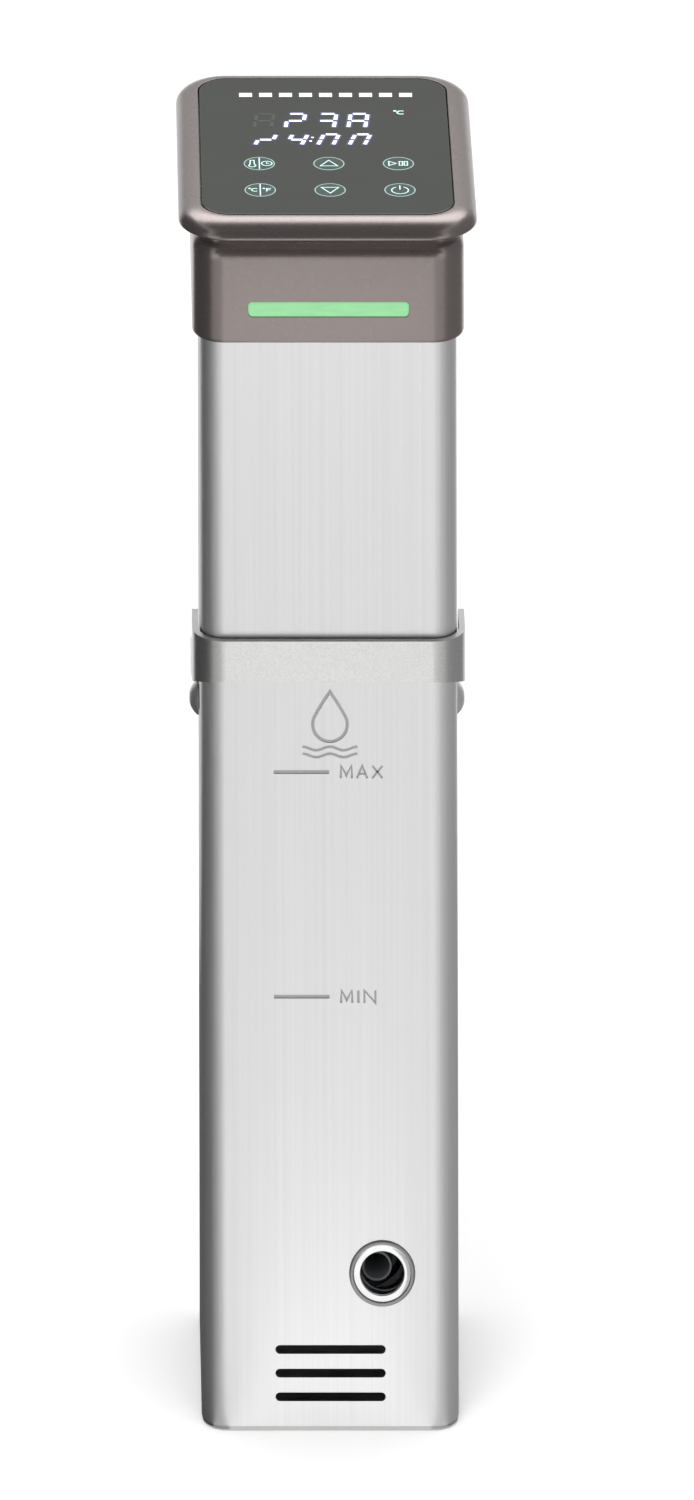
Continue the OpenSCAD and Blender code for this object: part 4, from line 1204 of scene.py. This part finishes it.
class CIRCULATOR_OT_display(Operator):
    """Lit figures, their glow, a generic line of dashes, the unit mark, key rings and key marks"""

    bl_idname = "circulator.display"
    bl_label = "Display"

    def execute(self, context):
        settings = context.scene.circulator_display
        _, high, middle, _ = size_of("display_glass")
        top = high.z

        def placer(height):
            return lambda p: Vector((p[0] + 0.001, middle.y + p[1], top + height))

        figures = []
        pitch = 0.0102
        for i, digit in enumerate("238"):
            figures += digit_lines(digit, -0.0130 + i * pitch, 0.0138, 0.0055, 0.0110, 0.10)
        for i, digit in enumerate(("short 2", "4", "0", "0")):
            figures += digit_lines(digit, -0.0226 + i * pitch, 0.0004, 0.0049, 0.0082, 0.26)
        colon = [[(-0.0056, 0.0030), (-0.0055, 0.0038)], [(-0.0050, 0.0058), (-0.0049, 0.0066)]]
        line = settings.digit_line
        lit = [stroke_mesh(points, line, placer(0.00006)) for points in figures]
        lit += [stroke_mesh(points, 0.0008, placer(0.00006)) for points in colon]
        digits = flat_marks("lit_figures", lit)
        finish_piece(digits, "circulator", FINISHES["lit_white"])

        glow = [
            stroke_mesh(stretched_line(points, 0.0005), line * 1.9, placer(0.00003)) for points in figures
        ]
        halo = flat_marks("figure_glow", glow)
        finish_piece(halo, "circulator", FINISHES["lit_halo"])

        unlit_lines = digit_lines("8", -0.0232, 0.0138, 0.0055, 0.0110, 0.10)
        ghost = [stroke_mesh(points, line, placer(0.00003)) for points in unlit_lines]
        unlit = flat_marks("unlit_figure", ghost)
        finish_piece(unlit, "circulator", FINISHES["unlit"])

        dashes = []
        for i in range(9):
            x = -0.0262 + i * 0.00655
            dashes.append(stroke_mesh([(x - 0.0021, 0.0398), (x + 0.0021, 0.0398)], 0.0030, placer(0.00005)))
        row = flat_marks("plain_dashes", dashes)
        finish_piece(row, "circulator", FINISHES["print_white"])

        marks = []

        def draw(points, closed=False, width=settings.key_line):
            marks.append(stroke_mesh(points, width, placer(0.00005), closed))

        left, centre, right = -0.0225, 0.0, 0.0225
        upper, lower = -0.0140, -0.0344
        self.thermometer_and_timer(draw, left, upper)
        self.arrow(draw, centre, upper, 1)
        self.play_and_pause(draw, right, upper)
        self.degrees(draw, left, lower)
        self.arrow(draw, centre, lower, -1)
        self.power(draw, right, lower)
        self.degree_letter(draw, 0.0240, 0.0259, 0.0030, "C", 0.00055)
        icons = flat_marks("key_marks", marks)
        finish_piece(icons, "circulator", FINISHES["icon_teal"])

        fields = []
        for x in (left, centre, right):
            for y in (upper, lower):
                rim = arc_points((x, y), settings.key_ring / 2 - settings.key_line, 0, 352.5, 47)
                fields.append(([placer(0.00002)(point) for point in rim], [tuple(range(len(rim)))]))
        field = flat_marks("key_fields", fields)
        finish_piece(field, "circulator", FINISHES["key_field"])

        rings = grown(
            "key_rings",
            key_ring_tree(),
            {
                "Columns": 3,
                "Rows": 2,
                "Column Spacing": right,
                "Row Spacing": upper - lower,
                "Ring Radius": settings.key_ring / 2 - settings.key_line / 2,
                "Line Width": settings.key_line,
                "Material": FINISHES["print_teal"],
            },
            Matrix.Translation((0.001, middle.y + (upper + lower) / 2, top))
            @ Matrix.Diagonal((1, 1, 0.3, 1)),
        )
        finish_piece(rings, "circulator", FINISHES["print_teal"])
        return {"FINISHED"}

    def arrow(self, draw, x, y, way):
        """A triangle that points up or down."""
        draw([(x - 0.0028, y - way * 0.0019), (x + 0.0028, y - way * 0.0019), (x, y + way * 0.0025)], True)

    def play_and_pause(self, draw, x, y):
        """A play triangle and two pause bars."""
        draw([(x - 0.0031, y - 0.0016), (x - 0.0031, y + 0.0016), (x - 0.0007, y)], True)
        for left in (x + 0.0003, x + 0.0019):
            right, half = left + 0.0010, 0.0015
            draw([(left, y - half), (right, y - half), (right, y + half), (left, y + half)], True)

    def power(self, draw, x, y):
        """A broken ring with a bar."""
        draw(arc_points((x, y - 0.0003), 0.0027, 115, 425, 28))
        draw([(x, y + 0.0003), (x, y + 0.0034)])

    def degree_letter(self, draw, x, y, tall, letter, width=None):
        """A small ring and a C or F."""
        line = width or 0.0004
        draw(arc_points((x - tall * 0.55, y + tall * 0.42), tall * 0.10, 0, 330, 8), True, line)
        if letter == "C":
            draw(arc_points((x + tall * 0.12, y), tall * 0.42, 50, 310, 16), False, line)
        else:
            stem, top_bar = x - tall * 0.2, y + tall * 0.42
            draw([(stem, y - tall * 0.45), (stem, top_bar), (x + tall * 0.35, top_bar)], False, line)
            draw([(x - tall * 0.2, y), (x + tall * 0.25, y)], False, line)

    def degrees(self, draw, x, y):
        """Two degree letters with a bar between them."""
        draw([(x, y - 0.0044), (x, y + 0.0044)])
        self.degree_letter(draw, x - 0.0020, y, 0.0026, "C")
        self.degree_letter(draw, x + 0.0026, y, 0.0026, "F")

    def thermometer_and_timer(self, draw, x, y):
        """A thermometer and a clock with a bar between them."""
        draw([(x, y - 0.0044), (x, y + 0.0044)])
        bulb = arc_points((x - 0.0023, y - 0.0016), 0.0011, 130, 410, 14)
        draw(bulb + [(x - 0.0017, y + 0.0024), (x - 0.0029, y + 0.0024)], True)
        draw(arc_points((x + 0.0024, y), 0.0017, 0, 345, 18), True)
        draw([(x + 0.0024, y + 0.0009), (x + 0.0024, y), (x + 0.0031, y)])


def stretched_line(points, by):
    """A straight line made longer at both ends."""
    start, end = Vector(points[0]), Vector(points[-1])
    along = (end - start).normalized() * by
    return [tuple(start - along), tuple(end + along)]


class CIRCULATOR_OT_gland(Operator):
    """Cord gland: hexagon body and a ribbed dome nut, open for the cord"""

    bl_idname = "circulator.gland"
    bl_label = "Cord gland"

    def execute(self, context):
        low, high, middle, _ = size_of("cord_gland")
        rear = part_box("head_housing")[1].y
        centre = Vector((middle.x, 0, middle.z))
        bore = 0.0036
        hexagon = [
            (0.0095, rear),
            (0.0095, rear + 0.0036),
            (0.0088, rear + 0.0040),
            (bore, rear + 0.0040),
            (bore, rear),
        ]
        dome = [
            (0.0060, low.y),
            (0.0060, rear + 0.0001),
            (0.0074, rear + 0.0041),
            (0.0074, high.y - 0.0040),
            (0.0071, high.y - 0.0022),
            (0.0062, high.y - 0.0007),
            (0.0052, high.y),
            (bore, high.y),
            (bore, low.y),
        ]
        parts = [
            lathe("hexagon", hexagon, centre, "Y", 6, loop=True),
            lathe("dome", dome, centre, "Y", 64, loop=True, sharp=50),
            grown(
                "ribs",
                rib_ring_tree(),
                {
                    "Count": 18,
                    "Radius": 0.00715,
                    "Rib Radius": 0.00035,
                    "Rib Length": 0.0042,
                    "Material": FINISHES["black_nylon"],
                },
                Matrix.Translation((middle.x, rear + 0.0061, middle.z))
                @ Matrix.Rotation(math.pi / 2, 4, "X"),
            ),
        ]
        gland = join("cord_gland_ribbed", parts)
        finish_piece(gland, "circulator", FINISHES["black_nylon"], ["cord_gland"])
        return {"FINISHED"}


class CIRCULATOR_OT_clamp_screw(Operator):
    """Clamp screw with its thread, and the lobed knob with a ribbed skirt"""

    bl_idname = "circulator.clamp_screw"
    bl_label = "Clamp screw and knob"

    def execute(self, context):
        settings = context.scene.circulator_clamp
        low, high, middle, size = size_of("clamp_screw")
        centre = Vector((middle.x, 0, middle.z))
        outer = size.x / 2
        pitch, depth = settings.pitch, settings.thread_depth
        tip_end = low.y + 0.004
        stations = [(0.0024, low.y), (0.00295, low.y + 0.0005), (0.00295, tip_end - 0.0002)]
        rings = [round_ring(r, along, centre, "Y", 36) for r, along in stations]
        steps = int((high.y - tip_end) / (pitch / 8))
        for i in range(steps + 1):
            along = tip_end + (high.y - tip_end) * i / steps
            ring = []
            for j in range(36):
                turn = j / 36
                phase = (along / pitch + turn) % 1.0
                r = outer - depth * abs(2 * phase - 1)
                if i == 0:
                    r = outer - depth
                a = FULL_TURN * turn
                ring.append(centre + Vector((r * math.cos(a), along, r * math.sin(a))))
            rings.append(ring)
        screw = loft("clamp_screw_threaded", rings, sharp=50)
        finish_piece(screw, "clamp_screw_body", FINISHES["zinc_steel"], ["clamp_screw"])

        low, high, middle, _ = size_of("clamp_knob")
        outer = 0.016
        stations = [
            (0.0124, low.y, 0.0),
            (0.0129, low.y + 0.0004, 0.0),
            (0.0129, low.y + 0.0030, 0.0),
            (0.0148, low.y + 0.0032, 0.0008),
            (0.0157, low.y + 0.0040, 0.0016),
            (outer, low.y + 0.0052, 0.0020),
            (outer, high.y - 0.0024, 0.0020),
            (0.0155, high.y - 0.0009, 0.0020),
            (0.0144, high.y - 0.0001, 0.0018),
            (0.0120, high.y, 0.0008),
            (0.0095, high.y - 0.0001, 0.0),
            (0.0090, high.y - 0.0007, 0.0),
            (0.0086, high.y - 0.0007, 0.0),
            (0.0082, high.y - 0.0002, 0.0),
            (0.0040, high.y, 0.0),
        ]
        rings = [
            round_ring(r, along, centre, "Y", 96, settings.lobes, lobe) for r, along, lobe in stations
        ]
        knob = loft("knob", rings, sharp=45)
        ribs = grown(
            "ribs",
            rib_ring_tree(),
            {
                "Count": settings.ribs,
                "Radius": 0.0129,
                "Rib Radius": 0.00035,
                "Rib Length": 0.0024,
                "Material": FINISHES["black_nylon"],
            },
            Matrix.Translation((middle.x, low.y + 0.0017, middle.z)) @ Matrix.Rotation(math.pi / 2, 4, "X"),
        )
        whole = join("clamp_knob_lobed", [knob, ribs])
        finish_piece(whole, "clamp_screw_body", FINISHES["black_nylon"], ["clamp_knob"])
        return {"FINISHED"}


class CIRCULATOR_OT_finishes(Operator):
    """Finishes of the CAD nodes that are carried over"""

    bl_idname = "circulator.finishes"
    bl_label = "CAD finishes"

    def execute(self, context):
        for row in frame["record"]["subparts"]:
            obj = frame["nodes"][row["node"]]
            obj.data.materials.clear()
            obj.data.materials.append(FINISHES[row["material_slot"]])
        return {"FINISHED"}


def reflection_card(name, corners, brightness):
    """A card that only reflections see, so that it shades the metal and nothing else."""
    card = make_object(name, corners, [(0, 1, 2, 3)], recalc=False)
    material = bpy.data.materials.new(name)
    material.use_nodes = True
    tree = material.node_tree
    tree.nodes.clear()
    output = add_node(tree, "ShaderNodeOutputMaterial")
    grey = (brightness, brightness, brightness, 1.0)
    glow = add_node(tree, "ShaderNodeEmission", {"Color": grey, "Strength": 1.0})
    tree.links.new(glow.outputs[0], output.inputs["Surface"])
    card.data.materials.append(material)
    card.visible_camera = False
    card.visible_diffuse = False
    card.visible_shadow = False
    card.visible_transmission = False
    return card


class CIRCULATOR_OT_stage(Operator):
    """Pale floor, soft light, reflection cards and the camera"""

    bl_idname = "circulator.stage"
    bl_label = "Stage"

    def execute(self, context):
        settings = context.scene.circulator_stage
        scene = context.scene
        scene.view_settings.view_transform = "Standard"
        scene.view_settings.look = "None"

        reach = 14.0
        floor = make_object(
            "floor",
            [(side * reach, end * reach, -0.0001) for side, end in ((-1, -1), (1, -1), (1, 1), (-1, 1))],
            [(0, 1, 2, 3)],
            recalc=False,
        )
        material, tree, shader, place = start_material("floor_pale_paper")
        fibre = noise(tree, stretched(tree, place, 0.8, 0.8, 0.8), 3.0)
        base = tuple(settings.floor_colour)
        colour = tinted(tree, fibre, scaled(base, 0.995), scaled(base, 1.005))
        tree.links.new(colour, shader.inputs["Base Color"])
        shader.inputs["Roughness"].default_value = 0.9
        shader.inputs["Specular IOR Level"].default_value = 0.1
        bumped(tree, shader, fibre, 0.01, 0.2)
        floor.data.materials.append(material)

        world = bpy.data.worlds.new("studio")
        scene.world = world
        world.use_nodes = True
        background = world.node_tree.nodes["Background"]
        background.inputs["Color"].default_value = (1.0, 1.0, 1.0, 1.0)
        background.inputs["Strength"].default_value = settings.sky

        self.softbox("front_softbox", (-0.9, -2.4, 1.9), (0.0, 0.0, 0.2), 1.4, 1.4, 19.0)
        self.softbox("foot_softbox", (0.0, -0.55, 1.3), (0.0, -0.15, 0.0), 0.6, 0.4, 3.0)

        wide = 1.1
        for name, low_edge, high_edge, brightness in (
            ("card_ahead", (-1.4, 0.52), (-1.4, 1.9), 0.11),
            ("card_above", (-1.4, 1.9), (0.35, 1.9), 0.11),
            ("card_behind_high", (1.25, 1.30), (0.55, 1.85), 3.2),
            ("card_behind_low", (1.25, 0.45), (1.25, 1.28), 0.58),
        ):
            corners = [(-wide, *low_edge), (wide, *low_edge), (wide, *high_edge), (-wide, *high_edge)]
            reflection_card(name, corners, brightness)
        rim_card = [(-0.075, 0.354), (0.075, 0.354), (0.075, 0.43), (-0.075, 0.43)]
        reflection_card("card_rim", [(x, -0.15, z) for x, z in rim_card], 0.12)
        for name, side, brightness, grade in (("left", -1, 0.07, 0.42), ("right", 1, 0.28, 0.55)):
            grade_card = [(0.030, -0.030), (0.9, -0.85), (0.20, -1.15), (0.033, -0.042)]
            reflection_card(f"card_{name}_grade", [(side * x, y, 0.0003) for x, y in grade_card], grade)
            floor_card = [(0.9, -0.85), (0.030, -0.030), (0.030, 0.25), (0.9, 0.5)]
            reflection_card(f"card_{name}_floor", [(side * x, y, 0.0004) for x, y in floor_card], brightness)
            wall_card = [(-0.34, 0.0), (0.35, 0.0), (0.35, 0.75), (-0.34, 0.75)]
            reflection_card(f"card_{name}", [(side * 0.36, y, z) for y, z in wall_card], brightness)

        self.camera(scene, settings.lens)
        return {"FINISHED"}

    def softbox(self, name, place, target, wide, deep, power):
        """A soft area light that neither the camera nor a reflection sees."""
        data = bpy.data.lights.new(name, "AREA")
        data.shape = "RECTANGLE"
        data.size, data.size_y, data.energy = wide, deep, power
        lamp = bpy.data.objects.new(name, data)
        bpy.context.collection.objects.link(lamp)
        lamp.location = place
        lamp.rotation_euler = (Vector(target) - Vector(place)).to_track_quat("-Z", "Y").to_euler()
        lamp.visible_camera = False
        lamp.visible_glossy = False

    def camera(self, scene, lens):
        """A far camera above the front whose picture plane stays parallel to the tube's front."""
        data = bpy.data.cameras.new("camera")
        data.lens = lens / MM
        data.sensor_width = 36.0
        data.clip_end = 60.0
        camera = bpy.data.objects.new("camera", data)
        bpy.context.collection.objects.link(camera)
        rig = bpy.data.objects.new("camera_rig", None)
        bpy.context.collection.objects.link(rig)
        across = Vector((1.0, 0.0, 0.0))
        up = Vector((0.0019, -0.0079, 1.0))
        back = Vector((-0.0206, -1.0, 0.4589))
        place = Vector((-0.0834, -4.3621, 2.2011))
        camera.parent = rig
        camera.matrix_parent_inverse = Matrix(
            [(across[i], up[i], back[i], place[i]) for i in range(3)] + [(0.0, 0.0, 0.0, 1.0)]
        )
        scene.camera = camera


class CIRCULATOR_PT_panel(Panel):
    """Sidebar list of the pieces"""

    bl_idname = "CIRCULATOR_PT_panel"
    bl_label = "Immersion circulator"
    bl_space_type = "VIEW_3D"
    bl_region_type = "UI"
    bl_category = "Circulator"

    def draw(self, context):
        column = self.layout.column()
        for operator in OPERATORS:
            column.operator(operator.bl_idname)


OPERATORS = (
    CIRCULATOR_OT_finishes,
    CIRCULATOR_OT_tube,
    CIRCULATOR_OT_outlet,
    CIRCULATOR_OT_side_screws,
    CIRCULATOR_OT_housing,
    CIRCULATOR_OT_rim,
    CIRCULATOR_OT_panel,
    CIRCULATOR_OT_display,
    CIRCULATOR_OT_gland,
    CIRCULATOR_OT_clamp_screw,
    CIRCULATOR_OT_stage,
)
SETTINGS = {
    "circulator_tube": TubeSettings,
    "circulator_head": HeadSettings,
    "circulator_display": DisplaySettings,
    "circulator_clamp": ClampSettings,
    "circulator_stage": StageSettings,
}


def register():
    """Registers the settings, the operators and the panel."""
    for name, kind in SETTINGS.items():
        bpy.utils.register_class(kind)
        setattr(bpy.types.Scene, name, PointerProperty(type=kind))
    for operator in OPERATORS:
        bpy.utils.register_class(operator)
    bpy.utils.register_class(CIRCULATOR_PT_panel)


def unregister():
    """Undoes register()."""
    bpy.utils.unregister_class(CIRCULATOR_PT_panel)
    for operator in reversed(OPERATORS):
        bpy.utils.unregister_class(operator)
    for name, kind in SETTINGS.items():
        delattr(bpy.types.Scene, name)
        bpy.utils.unregister_class(kind)


def main():
    """Builds every piece."""
    register()
    FINISHES.update(build_finishes())
    FINISHES.update(build_mark_finishes())
    for operator in OPERATORS:
        group, name = operator.bl_idname.split(".")
        getattr(getattr(bpy.ops, group), name)()


if __name__ == "__main__":
    main()
